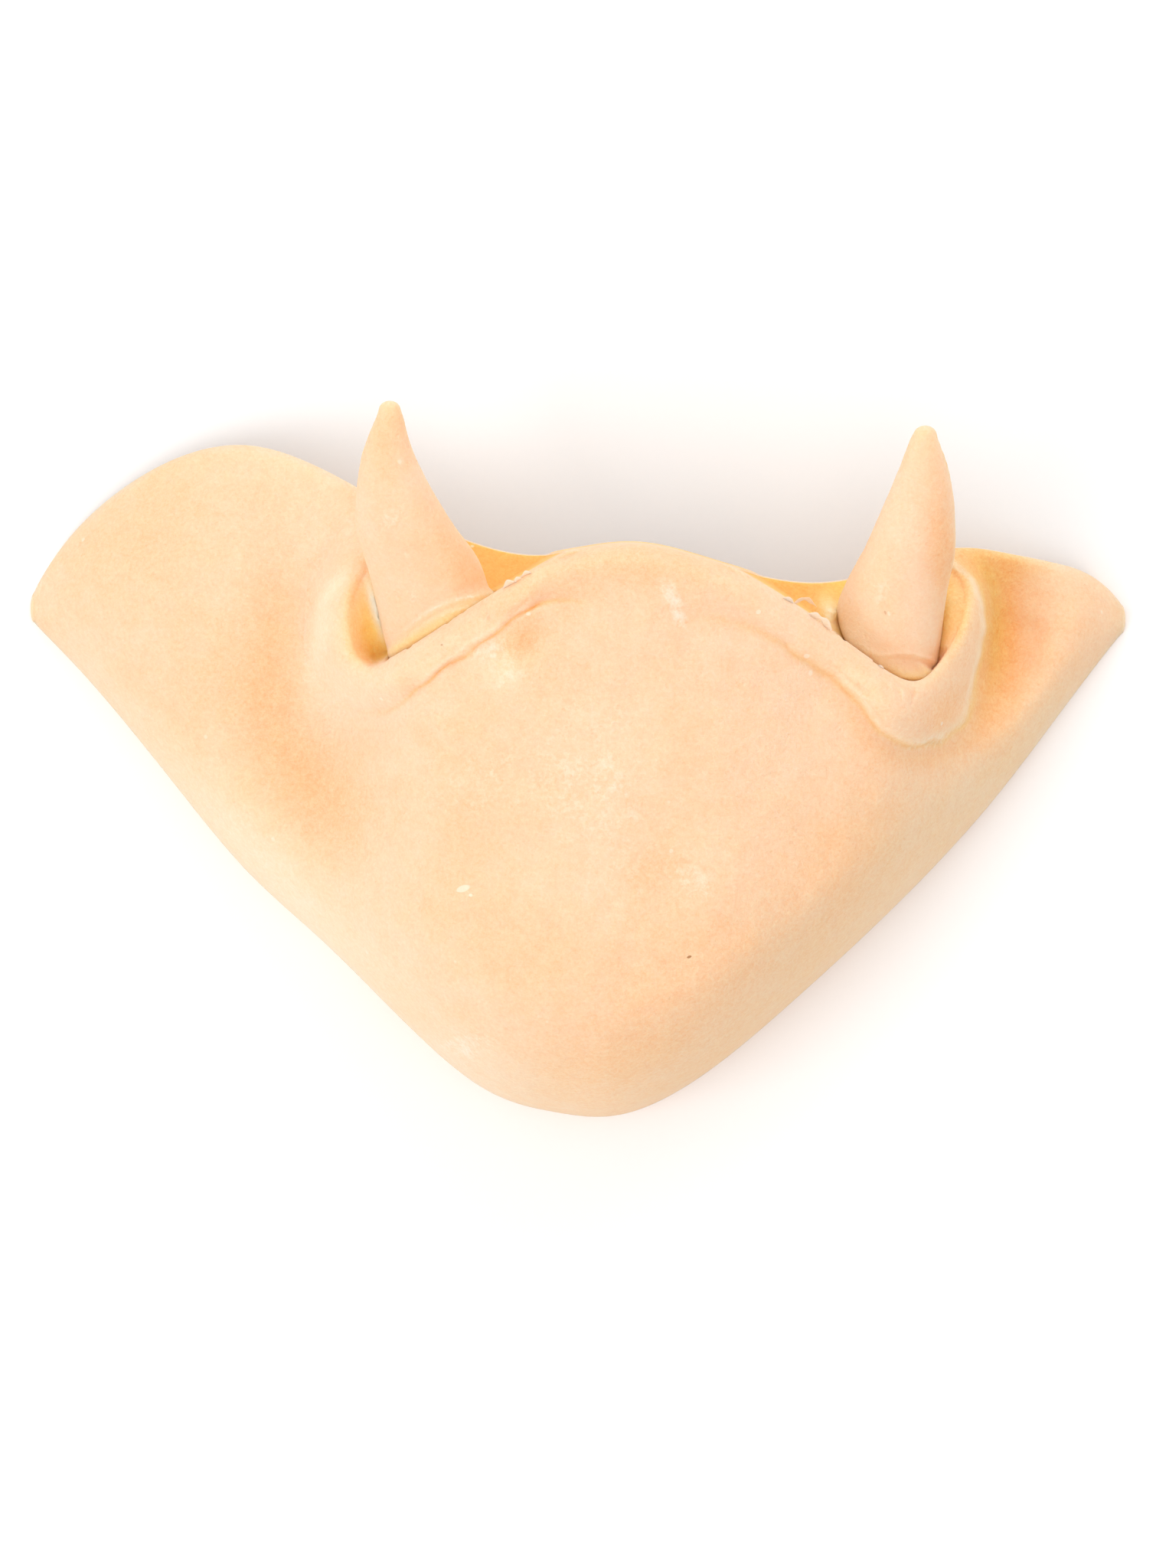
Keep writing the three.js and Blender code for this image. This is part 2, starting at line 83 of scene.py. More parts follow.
# The lip's edge in plan: down the fold left of the left tusk, along the lip, up the collar right of
# the right tusk. Columns: x, y, roll height, distance of its crest, length of its flank, crease depth,
# crease width, width of the drop behind the edge, how crisp the flank's foot is, and valley depth.
LIP_EDGE = np.array([
    [-19, 30, 0, 1.8, 4, 0, 0.8, 2.6, 0, 0],
    [-21, 23, 0.5, 1.8, 4, 0, 0.8, 2.6, 0, 0],
    [-23.1, 19.8, 2.6, 1.2, 4.2, 0, 0.8, 1.5, 0, 0],
    [-24.4, 16.5, 4.4, 1.5, 3.8, 0, 0.8, 2, 0, 0],
    [-24.5, 13.2, 5, 1.6, 3.6, 0, 0.8, 2.1, 0, 0],
    [-23.7, 10.8, 4.2, 1.6, 3.6, 0, 0.6, 2, 0, 0],
    [-22.2, 9.7, 3.2, 1.7, 3.4, 0.05, 0.4, 1.4, 0.1, 0],
    [-20.4, 10.4, 2.5, 1.7, 2.9, 0.1, 0.3, 1, 0.3, 0],
    [-18.5, 11.5, 2, 1.7, 2.5, 0.14, 0.22, 0.8, 0.5, 0],
    [-11.5, 16, 1.4, 1.6, 2.3, 0.16, 0.2, 0.6, 0.6, 0],
    [-5.5, 19.6, 1.2, 1.6, 2.2, 0.16, 0.22, 0.6, 0.4, 0],
    [-1, 22, 0.7, 2.2, 4, 0, 0.6, 0.8, 0, 0],
    [5.8, 23.4, 0.5, 2.6, 6, 0, 0.8, 1, 0, 0],
    [12, 22.4, 0.5, 2.6, 6, 0, 0.8, 1, 0, 0],
    [18.2, 19.4, 0.9, 2.2, 3.4, 0.05, 0.6, 0.8, 0.1, 0],
    [24, 15.8, 1.3, 2, 2.4, 0.12, 0.5, 0.6, 0.3, 0],
    [29, 12.2, 1.8, 2, 2.2, 0.16, 0.45, 0.5, 0.5, 0.1],
    [33.2, 9.3, 2.3, 2.6, 2.5, 0.16, 0.4, 0.5, 0.6, 0.3],
    [36.6, 8.2, 3, 3.5, 3.5, 0.16, 0.4, 0.6, 0.6, 0.5],
    [38.7, 9.9, 3.4, 2.7, 2.5, 0.18, 0.45, 1.2, 0.65, 0.9],
    [40.2, 12.2, 4, 2, 1.8, 0.2, 0.5, 1.7, 0.8, 1.5],
    [41.3, 14.8, 4.1, 1.5, 1.5, 0.22, 0.5, 2, 0.9, 1.9],
    [41.7, 17.6, 3, 1, 0.9, 0.2, 0.45, 2, 1, 1.7],
    [40.8, 19.8, 1.6, 0.6, 0.6, 0.12, 0.4, 1.6, 0.9, 1.2],
    [38.8, 21.2, 0.8, 0.6, 0.6, 0.05, 0.4, 1.2, 0.7, 0.6],
    [35, 23.6, 0, 0.6, 0.6, 0, 0.4, 1.2, 0.5, 0],
])
LIP_SAMPLES = 900
WEB_SAMPLES = 160

# The lip's shape, with lengths in millimetres. A pair is the ends of a smooth step in the lip's column
# of drop widths or crispness, and the wander is a multiple of the unevenness.
EDGE_ROUND = 2.2
SOFT_DROP = (1.0, 2.4)
VALLEY_REACH = 1.5
HEM_PLACE, HEM_WIDTH, HEM_HEIGHT = 0.55, 0.35, 0.25
HEM_CRISP = (0.35, 0.75)
FOOT_WANDER = 0.9
WANDER_CRISP = (0.1, 0.5)

# Spans in millimetres, as the ends of the smooth steps up and down: the lip's broad middle in X and the
# gum between the tusks in X, then the step up to the gum in Y.
LIP_MIDDLE = ((-6, 0), (14, 22))
GUM_SPAN = ((-17, -12), (25, 29))
GUM_FRONT = (14, 17)

# Painted warm shade in the valley, and how wide the painted shade at the lip's soft edge is, in
# millimetres.
SHADE_PLACE, SHADE_WIDTH = 1.3, 1.9
EDGE_SHADE_WIDTH = 0.9

# The gum behind the lip: its slope and its greatest rise from the mouth rim, on the skin and in the
# hollow, and how far below the lip a fold's painted shade is full.
GUM_SLOPE, GUM_RISE = 1.1, 6.5
HOLLOW_SLOPE, HOLLOW_RISE = 0.15, 1.5
FULL_DEPTH = 8.0

# The skin beside a tusk, and details of a tusk's foot, in millimetres; the last is the width of the
# painted shade in the crevice where the tusk meets the lip.
TUSK_GAP = 0.25
EDGE_STRIP = 0.35
EDGE_LIFT = 0.1
LEAST_WIDTH = 0.01
WEB_WIDTH = 0.3
FILLET_WIDTH = 1.1
CREVICE_SHADE_WIDTH = 0.9

# The hollow, in millimetres: how far from its edges the wall is full, and the lengths of section over
# which it runs out at the tips. The inset at the jaw rim is at most a share of the section.
WALL_RUN = 12
TIP_LENGTHS = (7, 20)
INSET_SHARE = 0.12

# Bells on the face. Columns: x, y, half length, half width, turn in degrees, height.
FORMS = np.array([
    [-31.5, 2, 14, 6.5, 112, -2.4],
    [47, 12, 9, 3.4, 84, -0.8],
    [8.6, -12.5, 5, 4, 80, -0.8],
    [39.4, 4.9, 3, 1.7, 48, -0.7],
    [42.2, 14.8, 4.6, 1.5, 82, 2.2],
    [-7.5, 9.5, 3, 2.4, 40, 0.7],
    [-5.4, 12.2, 2.2, 1.4, 40, -0.8],
    [-8, -10, 14, 4, 0, -0.6],
])

# Raised floors of the tusks' pockets, with the columns of FORMS.
POCKETS = np.array([
    [-23, 15, 6, 3, 82, 2.2],
    [-21.6, 15.8, 3.2, 0.6, -75, 3.2],
    [40.2, 14, 6, 2.4, 76, 3],
    [27.5, 14.4, 2.2, 1.1, 110, 6.5],
])

# Small creases and folds of the skin, with the columns of FORMS.
CREASES = np.array([
    [-9.8, 15, 1.5, 0.28, -52, -0.34],
    [-8.6, 15.9, 1.1, 0.22, -58, -0.22],
    [-6.6, 15.6, 1.6, 0.3, 38, -0.34],
    [-5.4, 15.2, 1.2, 0.34, 30, 0.26],
    [-4.2, 16.4, 1.8, 0.3, 34, -0.28],
    [-14.8, 11.6, 1, 0.25, -60, -0.2],
    [-18.2, 8, 1.2, 0.3, -40, -0.18],
    [34.9, 7, 0.9, 0.3, 96, 0.45],
    [33.6, 7.6, 0.8, 0.26, 108, 0.4],
    [36, 6.6, 0.9, 0.26, 84, -0.35],
    [30, 7.4, 1.6, 0.35, -38, -0.24],
    [39.5, 3.4, 3.2, 0.5, 36, 0.25],
])

# Powdery patches, and painted highlights on lit flanks, edges and the chin's middle, with the columns of
# FORMS and strength for height.
POWDER_AND_HIGHLIGHTS = np.array([
    [-7.9, 8.9, 3.2, 2.1, -48, 0.45],
    [-9.8, 11.4, 1.9, 1.2, 25, 0.5],
    [9.6, 17.6, 2.2, 1.1, 110, 0.62],
    [10.8, 14.8, 1.8, 1, 100, 0.48],
    [2.8, -4, 13, 8, 100, 0.42],
    [-11, -3, 8, 5, 20, 0.32],
    [-12, -31, 4, 2, 0, 0.5],
    [-36, 15, 8, 4, 60, 0.2],
    [13, -13.5, 2.6, 3, 0, 0.35],
    [31, 6, 2.4, 1.2, -30, 0.3],
    [-19.7, 25.6, 1.9, 1.5, 60, 0.48],
    [-18.4, 21.2, 2.2, 0.8, 80, 0.4],
    [-17.6, 17.4, 1.6, 0.7, 80, 0.5],
    [32.6, 17.6, 2.4, 1, 70, 0.36],
    [-27.4, 14, 6.5, 2.1, 88, 0.2],
    [-33, -13, 24, 3.6, -46, 0.2],
    [38, 1.6, 3.4, 0.9, 20, 0.4],
])

# Painted highlights on lit flanks, ridges and edges, with the columns of FORMS and strength for height.
PAINTED_HIGHLIGHTS = np.array([
    [-28.1, 12.6, 4.4, 1, 82, 0.72],
    [-26.2, 18.4, 2.7, 0.9, 52, 0.66],
    [-27.2, 12, 7, 2.6, 86, 0.36],
    [-25.8, 6.6, 3.6, 2.4, 130, 0.42],
    [-33, -13, 24, 3.8, -46, 0.62],
    [-21.9, 16, 3, 0.5, -75, 0.8],
    [-7.9, 9, 3.4, 2.4, -48, 0.45],
    [27.2, 15.2, 1.8, 1.2, 110, 0.6],
    [4, -4, 12, 7, 60, 0.12],
])

# Painted light on the tusks, paler where the lip shades them, with the columns of FORMS and strength for
# height.
TUSK_PAINTED_LIGHT = np.array([
    [30.4, 12.6, 4.2, 2.4, -52, 0.5],
    [31, 16, 3.6, 1.8, 70, 0.3],
])

# Painted shade, orange, in the valley right of the right tusk, with the columns of FORMS and strength for
# height.
VALLEY_SHADE = np.array([
    [46.2, 12, 8.5, 3, 86, 0.46],
    [44.5, 20.5, 5, 2.6, 0, 0.4],
])

# Warm tone, mostly painted shade in valleys, dips and on the shaded right side, with the columns of FORMS
# and strength for height.
BLUSH_AND_SHADE = np.array([
    [-6.2, 12, 2.6, 1.5, 42, 1],
    [7.6, -13, 5, 3, 74, 0.42],
    [-31.8, 2.2, 11, 4.6, 128, 0.68],
    [-33, 14, 8, 3.2, 92, 0.48],
    [-27, -6, 7, 4, 125, 0.4],
    [-42, 25, 10, 5, 20, 0.3],
    [-1, 9, 9, 5, 0, 0.25],
    [44.5, 20.5, 5, 2.6, 0, 0.95],
    [45.6, 11.5, 8.5, 2, 86, 0.85],
    [30, -10, 24, 9, 44, 0.4],
    [11, -30, 16, 8, 30, 0.5],
    [5, 20.4, 11, 3.2, 0, 0.55],
    [39.4, 4.9, 3, 2, 48, 0.7],
    [39.6, 21, 9, 2, 98, 0.95],
    [-12.6, 20.4, 4, 2.2, 118, 0.55],
    [-20.6, 34, 5, 2.4, 90, 0.35],
])

# Tusk sections from foot to tip. Columns: x, y, z of the axis, half width in X, half depth in Z.
LEFT_TUSK = np.array([
    [-15.2, 11, 21.8, 5.2, 3.6],
    [-15.4, 14.5, 23, 5.9, 5],
    [-16.3, 19.8, 25, 6.2, 5.2],
    [-18.4, 24.5, 27, 5.3, 4.7],
    [-19.8, 28.8, 28.8, 4, 3.7],
    [-20.4, 33.1, 30.6, 2.5, 2.5],
    [-20.25, 36, 31.9, 1.55, 1.55],
    [-20.2, 37.3, 32.5, 1.15, 1.15],
])
RIGHT_TUSK = np.array([
    [35.4, 8.8, 19.9, 3, 4.2],
    [34.5, 11.2, 20.6, 4.4, 5],
    [33.7, 14.4, 21.4, 5.6, 5.3],
    [34, 17.4, 22.3, 5.7, 5.2],
    [34.9, 20.2, 23.4, 5.3, 4.9],
    [35.65, 22.4, 24.5, 4.85, 4.6],
    [36.35, 25.6, 25.9, 4.1, 4],
    [36.9, 29, 27.4, 3.2, 3.15],
    [37.15, 32.6, 29, 2, 2],
    [37.2, 34.7, 30, 1.15, 1.15],
])
FOOT_ROUND = 1.6
TIP_ROUND = 1.15
TIP_LEAN = 0.3

# Thin webs and ledges across the tusks' feet, in plan. Columns: x, y, ridge height, and step in
# height towards the lip.
TUSK_WEBS = {
    "left": (
        np.array([
            [-20, 12.4, 0, 0],
            [-17.6, 14.2, 0.34, 0.16],
            [-15.8, 15.6, 0.44, 0.24],
            [-13.7, 16.6, 0.44, 0.24],
            [-11.2, 17.3, 0.38, 0.2],
            [-8.6, 17.8, 0.14, 0.05],
        ]),
        np.array([
            [-18.4, 12.6, 0, 0],
            [-15.6, 14.6, 0.24, 0.06],
            [-12.8, 16, 0.3, 0.08],
            [-10.4, 16.8, 0, 0],
        ]),
    ),
    "right": (
        np.array([
            [30.4, 12.4, 0, 0],
            [32.6, 10.9, 0.12, -0.08],
            [34.6, 11, 0.17, -0.12],
            [36.6, 10.8, 0.17, -0.12],
            [38.2, 10.2, 0.12, -0.08],
            [39.4, 9.6, 0, 0],
        ]),
    ),
}

# Ragged bits of cast latex. Columns: x, y, heading in degrees, length, half width, arch, bow.
FLAKES = np.array([
    [-7.3, 18.25, 27, 1.5, 0.24, 0.1, 0.28],
    [-6.4, 18.75, 40, 0.8, 0.28, 0.12, 0.22],
    [-5.5, 19.3, 25, 1.2, 0.22, 0.1, 0.28],
    [24.4, 16.15, -5, 2.7, 0.26, 0.1, 0.75],
    [25.9, 14.3, -35, 3.2, 0.42, 0, 0.45],
    [22.5, 16.5, -32, 1.4, 0.28, 0, 0.25],
    [32.5, 9.5, -32, 0.9, 0.2, 0.08, 0.05],
])

# Steps of the meshes. The shell's columns: last section and steps of each band. Its rows: steps of
# each band on the face and in the hollow, then rows down the back and loops at the tips. Where a
# section meets the lip is looked for in steps, and evened out over its neighbours.
COLUMN_BANDS = [(5, 76), (6.5, 76), (11, 100), (13, 104), (16, 56)]
FACE_ROWS = (20, 38, 60, 22, 32)
HOLLOW_ROWS = (8, 10, 10, 6)
BACK_ROWS = 8
TIP_ROWS = 4
CAP_RINGS = 10
FLAKE_RINGS, FLAKE_SIDES = 48, 16
LIP_STEPS = 240
EVEN_REACH, EVEN_WIDTH = 12, 4

# Lengths in millimetres: the bulge of the shell's back and tips, and half a sliver's thickness.
BACK_BULGE, TIP_BULGE = 0.4, 0.4
FLAKE_HALF_DEPTH = 0.12


def smoothstep(value, low, high):
    """0 below low and 1 above high, with the curve 3t squared less 2t cubed between them."""
    t = np.clip((value - low) / (high - low), 0, 1)
    return t * t * (3 - 2 * t)


def within(value, rise, fall):
    """1 between a smooth step up and a smooth step down, and 0 beyond them."""
    return smoothstep(value, *rise) * (1 - smoothstep(value, *fall))


def natural_spline(knots, rows):
    """A curve through the rows of a table: cubic between knots, with no bend at its two ends."""
    knots = np.asarray(knots, float)
    rows = np.asarray(rows, float)
    gaps = np.diff(knots)
    inner = np.arange(1, len(knots) - 1)
    system = np.eye(len(knots))
    system[inner, inner - 1] = gaps[:-1]
    system[inner, inner] = 2 * (gaps[:-1] + gaps[1:])
    system[inner, inner + 1] = gaps[1:]
    turns = np.zeros_like(rows)
    turns[1:-1] = 6 * np.diff(np.diff(rows, axis=0) / gaps[:, None], axis=0)
    bends = np.linalg.solve(system, turns)

    def at(values):
        values = np.asarray(values, float)
        i = np.clip(np.searchsorted(knots, values) - 1, 0, len(gaps) - 1)
        b = ((values - knots[i]) / gaps[i])[..., None]
        a = 1 - b
        lift = (gaps[i] ** 2 / 6)[..., None]
        return a * rows[i] + b * rows[i + 1] + lift * ((a**3 - a) * bends[i] + (b**3 - b) * bends[i + 1])

    return at


def unit(vectors):
    """Vectors of length 1 in the same directions."""
    return vectors / np.linalg.norm(vectors, axis=-1, keepdims=True)


def bell(value, width):
    """exp(-(value / width)^2)."""
    return np.exp(-((value / width) ** 2))


def bells(x, y, table):
    """The sum over a table of height times exp(-(along / half length)^2 - (across / half width)^2)."""
    total = np.zeros_like(x)
    for bell_x, bell_y, half_length, half_width, turn, height in table:
        angle = math.radians(turn)
        along = (x - bell_x) * math.cos(angle) + (y - bell_y) * math.sin(angle)
        across = (y - bell_y) * math.cos(angle) - (x - bell_x) * math.sin(angle)
        total += height * np.exp(-((along / half_length) ** 2) - (across / half_width) ** 2)
    return total


def ripples(x, y, wavelength, seed, count=18):
    """The sum of plane waves of about one wavelength in seeded directions and phases, scaled to a root
    mean square of 1.
    """
    pick = np.random.default_rng(seed)
    headings = pick.uniform(0, math.pi, count)
    lengths = wavelength * pick.uniform(0.7, 1.5, count)
    phases = pick.uniform(0, 2 * math.pi, count)
    total = np.zeros_like(x)
    for heading, length, phase in zip(headings, lengths, phases):
        total += np.cos(2 * math.pi * (x * math.cos(heading) + y * math.sin(heading)) / length + phase)
    return total * math.sqrt(2 / count)


def sample_path(rows, count):
    """Even samples of a path and its values by its chord length, and the direction at each."""
    chords = np.hypot(*np.diff(rows[:, :2], axis=0).T)
    lengths = np.concatenate([[0], np.cumsum(chords)])
    samples = natural_spline(lengths, rows)(np.linspace(0, lengths[-1], count + 1))
    return samples, unit(np.gradient(samples[:, :2], axis=0))


LIP = sample_path(LIP_EDGE, LIP_SAMPLES)


def from_path(x, y, path):
    """Distance to a path, above zero on its right, and the path's values at the nearest sample.

    The distance is square to the path, and straight to the nearest sample round a bend.
    """
    samples, ways = path
    points = np.stack([x.ravel(), y.ravel()], axis=1)
    parts = []
    for part in np.array_split(points, max(1, len(points) // 20000)):
        gaps = (part[:, :1] - samples[:, 0]) ** 2 + (part[:, 1:] - samples[:, 1]) ** 2
        parts.append(np.argmin(gaps, axis=1))
    nearest = np.concatenate(parts)
    offset = points - samples[nearest, :2]
    way = ways[nearest]
    step = np.linalg.norm(samples[1, :2] - samples[0, :2])
    square = way[:, 1] * offset[:, 0] - way[:, 0] * offset[:, 1]
    beyond = np.maximum(np.abs(np.sum(way * offset, axis=1)) - step, 0)
    distance = np.where(square < 0, -1, 1) * np.hypot(square, beyond)
    return distance.reshape(x.shape), samples[nearest, 2:].reshape(*x.shape, -1)


def from_lip_edge(x, y):
    """Distance from the lip's edge, above zero on the face's side, and the lip's values there."""
    distance, values = from_path(x, y, LIP)
    return distance, np.maximum(values, 0)


def lip_valley(distance, lip):
    """The valley at the foot of the lip's flank: t exp(1 - t) of its depth, with its deepest point at
    t = 1, which is its reach from the foot.
    """
    crest, flank, valley = lip[..., 1], lip[..., 2], lip[..., 7]
    t = np.maximum(distance - crest - flank, 0) / VALLEY_REACH
    return valley * t * np.exp(1 - t)


def places(u, v):
    """The plan, lengths and plain face height of points: u counts sections, v runs jaw rim to mouth rim.

    The plan lies on the straight line between a section's two rims. The face is the curve through
    its five heights, times a rounded edge sqrt(1 - (1 - t)^2.2) that rises from the jaw rim.
    """
    section = natural_spline(np.arange(len(SECTIONS)), SECTIONS)(u)[:, None, :]
    jaw, mouth = section[..., 0:2], section[..., 2:4]
    run = mouth - jaw
    length = np.linalg.norm(run, axis=-1)
    plan = jaw + run * v[..., None]
    shares = natural_spline(HEIGHT_STEPS, np.eye(len(HEIGHT_STEPS)))(v)
    plateau = np.sum(shares * section[..., 6:], axis=-1)
    inwards = np.clip(v * length / section[..., 5], 0, 1)
    rounding = np.sqrt(1 - (1 - inwards) ** 2.2)
    return SimpleNamespace(
        x=plan[..., 0], y=plan[..., 1], along=run / length[..., None], length=length,
        rim=section[..., 4], round_over=section[..., 5], rounding=rounding,
        from_jaw=v * length, from_mouth=(1 - v) * length, face=plateau * rounding,
    )


def tusk_underside(x, y, rows):
    """How high the skin may stand over points in plan: a gap under the tusk's lower side, just over the
    upper side in a strip along its edges, so that no slot opens, and two up for one out beside it.
    """
    axis_x, axis_z, half_width, half_depth = (np.interp(y, rows[:, 1], rows[:, c]) for c in (0, 2, 3, 4))
    foot = np.sqrt(1 - np.clip((rows[0, 1] - y) / FOOT_ROUND, 0, 1) ** 2)
    across = np.abs(x - axis_x)
    width = np.maximum(half_width * foot, LEAST_WIDTH)
    arch = half_depth * foot * np.sqrt(np.clip(1 - (across / width) ** 2, 0, 1))
    limit = np.where(across < width - EDGE_STRIP, axis_z - arch - TUSK_GAP, axis_z + arch + EDGE_LIFT)
    limit = np.where(across < width, limit, axis_z + EDGE_LIFT + 2 * (across - width))
    free = (y < rows[0, 1] - FOOT_ROUND) | (y > rows[-1, 1])
    return np.where(free, np.inf, limit)


def lip_form(at, distance, lip, settings):
    """The height of the face with its lip, and the parts of it that the finish reads.

    It is the face, plus the lip's roll and the hem at the roll's foot, less the lip's rounded edge, the
    crease and valley below it and the rounding at the mouth rim. Ripples make the roll's foot wander.
    """
    x, y = at.x, at.y
    roll, crest, flank, crease, crease_width, drop, crisp, _ = np.moveaxis(lip, -1, 0)
    face = at.face + at.rounding * bells(x, y, FORMS)
    wander = FOOT_WANDER * settings.unevenness / MM * smoothstep(crisp, *WANDER_CRISP)
    past_foot = distance - crest - flank + wander * ripples(x, y, 3.6, 7)
    down_flank = np.clip(1 + past_foot / flank, 0, 1)
    swell = roll * ((1 - crisp) * (1 - down_flank**2) ** 2 + crisp * (1 - down_flank**3))
    soft = smoothstep(drop, *SOFT_DROP)
    towards_edge = np.clip((crest - distance) / crest, 0, 1)
    edge_shape = (1 - soft) * (1 - np.sqrt(1 - towards_edge**2)) + soft * towards_edge**2
    round_edge = np.minimum(crest, EDGE_ROUND) * edge_shape
    groove = crease * bell(past_foot, crease_width)
    hem = smoothstep(crisp, *HEM_CRISP) * bell(past_foot + HEM_PLACE, HEM_WIDTH)
    valley = lip_valley(distance, lip)
    middle = within(x, *LIP_MIDDLE)
    back_round = (settings.rim_round + (settings.lip_round - settings.rim_round) * middle) / MM
    towards_mouth = np.clip(1 - at.from_mouth / back_round, 0, 1)
    back_edge = back_round * (1 - np.sqrt(1 - towards_mouth**2)) * smoothstep(distance, 0, 0.6)
    height = face + swell + HEM_HEIGHT * hem - round_edge - groove - valley - back_edge
    return height, SimpleNamespace(past_foot=past_foot, soft=soft, groove=groove, hem=hem, valley=valley)


def skin_masks(x, y, distance, on_face, sunk, form):
    """What the finish reads at each point, from 0 to 1. The folds' painted shade deepens with how far the
    skin is sunk behind the lip, the gum's painted shade is the band between the tusks, and the rest are
    sums of bells.
    """
    behind = 1 - on_face
    depth = np.clip(sunk / FULL_DEPTH, 0, 1) * behind
    shade = form.valley * bell(form.past_foot - SHADE_PLACE, SHADE_WIDTH)
    edge = form.soft * bell(distance, EDGE_SHADE_WIDTH)
    # Painted highlight on lit flanks, ridges, edges and the hem.
    pale = np.clip(bells(x, y, PAINTED_HIGHLIGHTS) + 0.45 * form.hem, 0, 1)
    between = within(x, *GUM_SPAN) * smoothstep(y, *GUM_FRONT)
    # Painted shade: darker where the skin is sunk behind the lip, in the crease and at the pockets' soft
    # edges.
    fold_shade = depth + 2.5 * form.groove + 0.5 * behind + 0.45 * edge
    # Painted shade on the gum band between the tusks and in the valleys.
    gum = behind * between + on_face * (bells(x, y, VALLEY_SHADE) + 0.25 * shade)
    # Warm tone, mostly painted shade in the valleys and hollows.
    blush_and_shade = bells(x, y, BLUSH_AND_SHADE) * np.maximum(on_face, 0.6) + 0.75 * shade
    return {
        "fold_shade": np.clip(fold_shade * (1 - 0.8 * pale), 0, 1),
        "gum": np.clip(gum, 0, 1) * (1 - pale),
        "pale": pale,
        "powder_and_highlight": np.clip(bells(x, y, POWDER_AND_HIGHLIGHTS) * on_face, 0, 1),
        "blush_and_shade": np.clip(blush_and_shade, 0, 1),
        "inside": np.zeros_like(x),
    }


def outer_skin(u, v, settings):
    """The face with its lip, which drops to the gum behind the lip's edge, clear of the tusks. Small
    creases and uneven ripples are laid on top. Returns points and the finish's masks.
    """
    at = places(u, v)
    x, y = at.x, at.y
    distance, lip = from_lip_edge(x, y)
    lip_height, form = lip_form(at, distance, lip, settings)
    gum = at.rim + np.minimum(GUM_SLOPE * at.from_mouth, GUM_RISE)
    gum = np.minimum(gum + bells(x, y, POCKETS), lip_height)
    on_face = np.clip(1 + distance / lip[..., 5], 0, 1) ** 2
    z = gum + (lip_height - gum) * on_face
    for rows in (LEFT_TUSK, RIGHT_TUSK):
        z = np.where(distance < 0, np.minimum(z, tusk_underside(x, y, rows)), z)
    calm = at.rounding * smoothstep(at.from_mouth, 0, 4) * smoothstep(distance, 0, 2)
    uneven = ripples(x, y, 11.0, 3) + 0.45 * ripples(x, y, 4.2, 5)
    z = z + calm * (settings.unevenness / MM * uneven + settings.crease_strength * bells(x, y, CREASES))
    masks = skin_masks(x, y, distance, on_face, lip_height - z, form)
    return np.stack([x, y, np.maximum(z, 0)], axis=-1), masks


def plain_height(u, v):
    """The form that the hollow is set off from: the face, and a gum level under the lip."""
    at = places(u, v)
    distance, lip = from_lip_edge(at.x, at.y)
    face = at.face + at.rounding * bells(at.x, at.y, FORMS) - lip_valley(distance, lip)
    gum = np.minimum(at.rim + np.minimum(HOLLOW_SLOPE * at.from_mouth, HOLLOW_RISE), face)
    return at, gum + (face - gum) * smoothstep(distance, 3, 12)


def inner_skin(u, v, settings):
    """The hollow's roof: one wall inside the plain form, level at the jaw rim, square to the skin where
    the edge rounds over, straight down from there on, and running out on the floor at the tips.
    """
    at, z = plain_height(u, v)
    step = 0.002
    ahead, back = np.clip(v + step, 0, 1), np.clip(v - step, 0, 1)
    rise = plain_height(u, ahead)[1] - plain_height(u, back)[1]
    square = unit(np.stack([-rise, (ahead - back) * at.length], axis=-1))
    turn = smoothstep(at.from_jaw, 0, np.minimum(3, 0.4 * at.length))[..., None]
    way = unit(np.array([-1.0, 0.0]) * (1 - turn) + square * turn)
    down = smoothstep(at.from_jaw, at.round_over / 2, at.round_over)[..., None]
    way = way * (1 - down) + np.array([0.0, 1.0]) * down
    rim_wall, body_wall = settings.rim_wall / MM, settings.body_wall / MM
    full = smoothstep(np.minimum(at.from_jaw, at.from_mouth), 0, WALL_RUN)
    wall = rim_wall + (body_wall - rim_wall) * full
    inset = (-np.minimum(wall, INSET_SHARE * at.length) * way[..., 0])[..., None]
    plan = np.stack([at.x, at.y], axis=-1) + inset * at.along
    roof = np.maximum(z - wall * way[..., 1], 0) * smoothstep(at.length, *TIP_LENGTHS)
    return np.concatenate([plan, roof[..., None]], axis=-1)


def banded(stops, counts):
    """Even steps in each band between stops, whose rows may differ from column to column."""
    values = [stops[0][..., None]]
    for low, high, count in zip(stops[:-1], stops[1:], counts):
        values.append(low[..., None] + (high - low)[..., None] * np.arange(1, count + 1) / count)
    return np.concatenate(values, axis=-1)


def lip_places(u):
    """The share of each section at which it first meets the lip's edge, counted from the jaw.

    Sections beyond the tusks' pockets take the nearest one's share. The shares are then evened out
    over neighbouring sections, so that the rows bend gently.
    """
    v = np.tile(np.linspace(0, 1, LIP_STEPS + 1), (len(u), 1))
    at = places(u, v)
    distance, _ = from_lip_edge(at.x, at.y)
    behind = distance < 0
    k = np.maximum(np.argmax(behind, axis=1), 1)
    rows = np.arange(len(u))
    before, after = distance[rows, k - 1], distance[rows, k]
    share = (k - 1 + before / (before - after)) / LIP_STEPS
    meets = behind.any(axis=1)
    met = np.flatnonzero(meets)
    share = np.where(meets, share, 1.0)[np.clip(rows, met[0], met[-1])]
    window = bell(np.arange(-EVEN_REACH, EVEN_REACH + 1), EVEN_WIDTH)
    return np.convolve(np.pad(share, EVEN_REACH, mode="edge"), window / window.sum(), mode="valid")


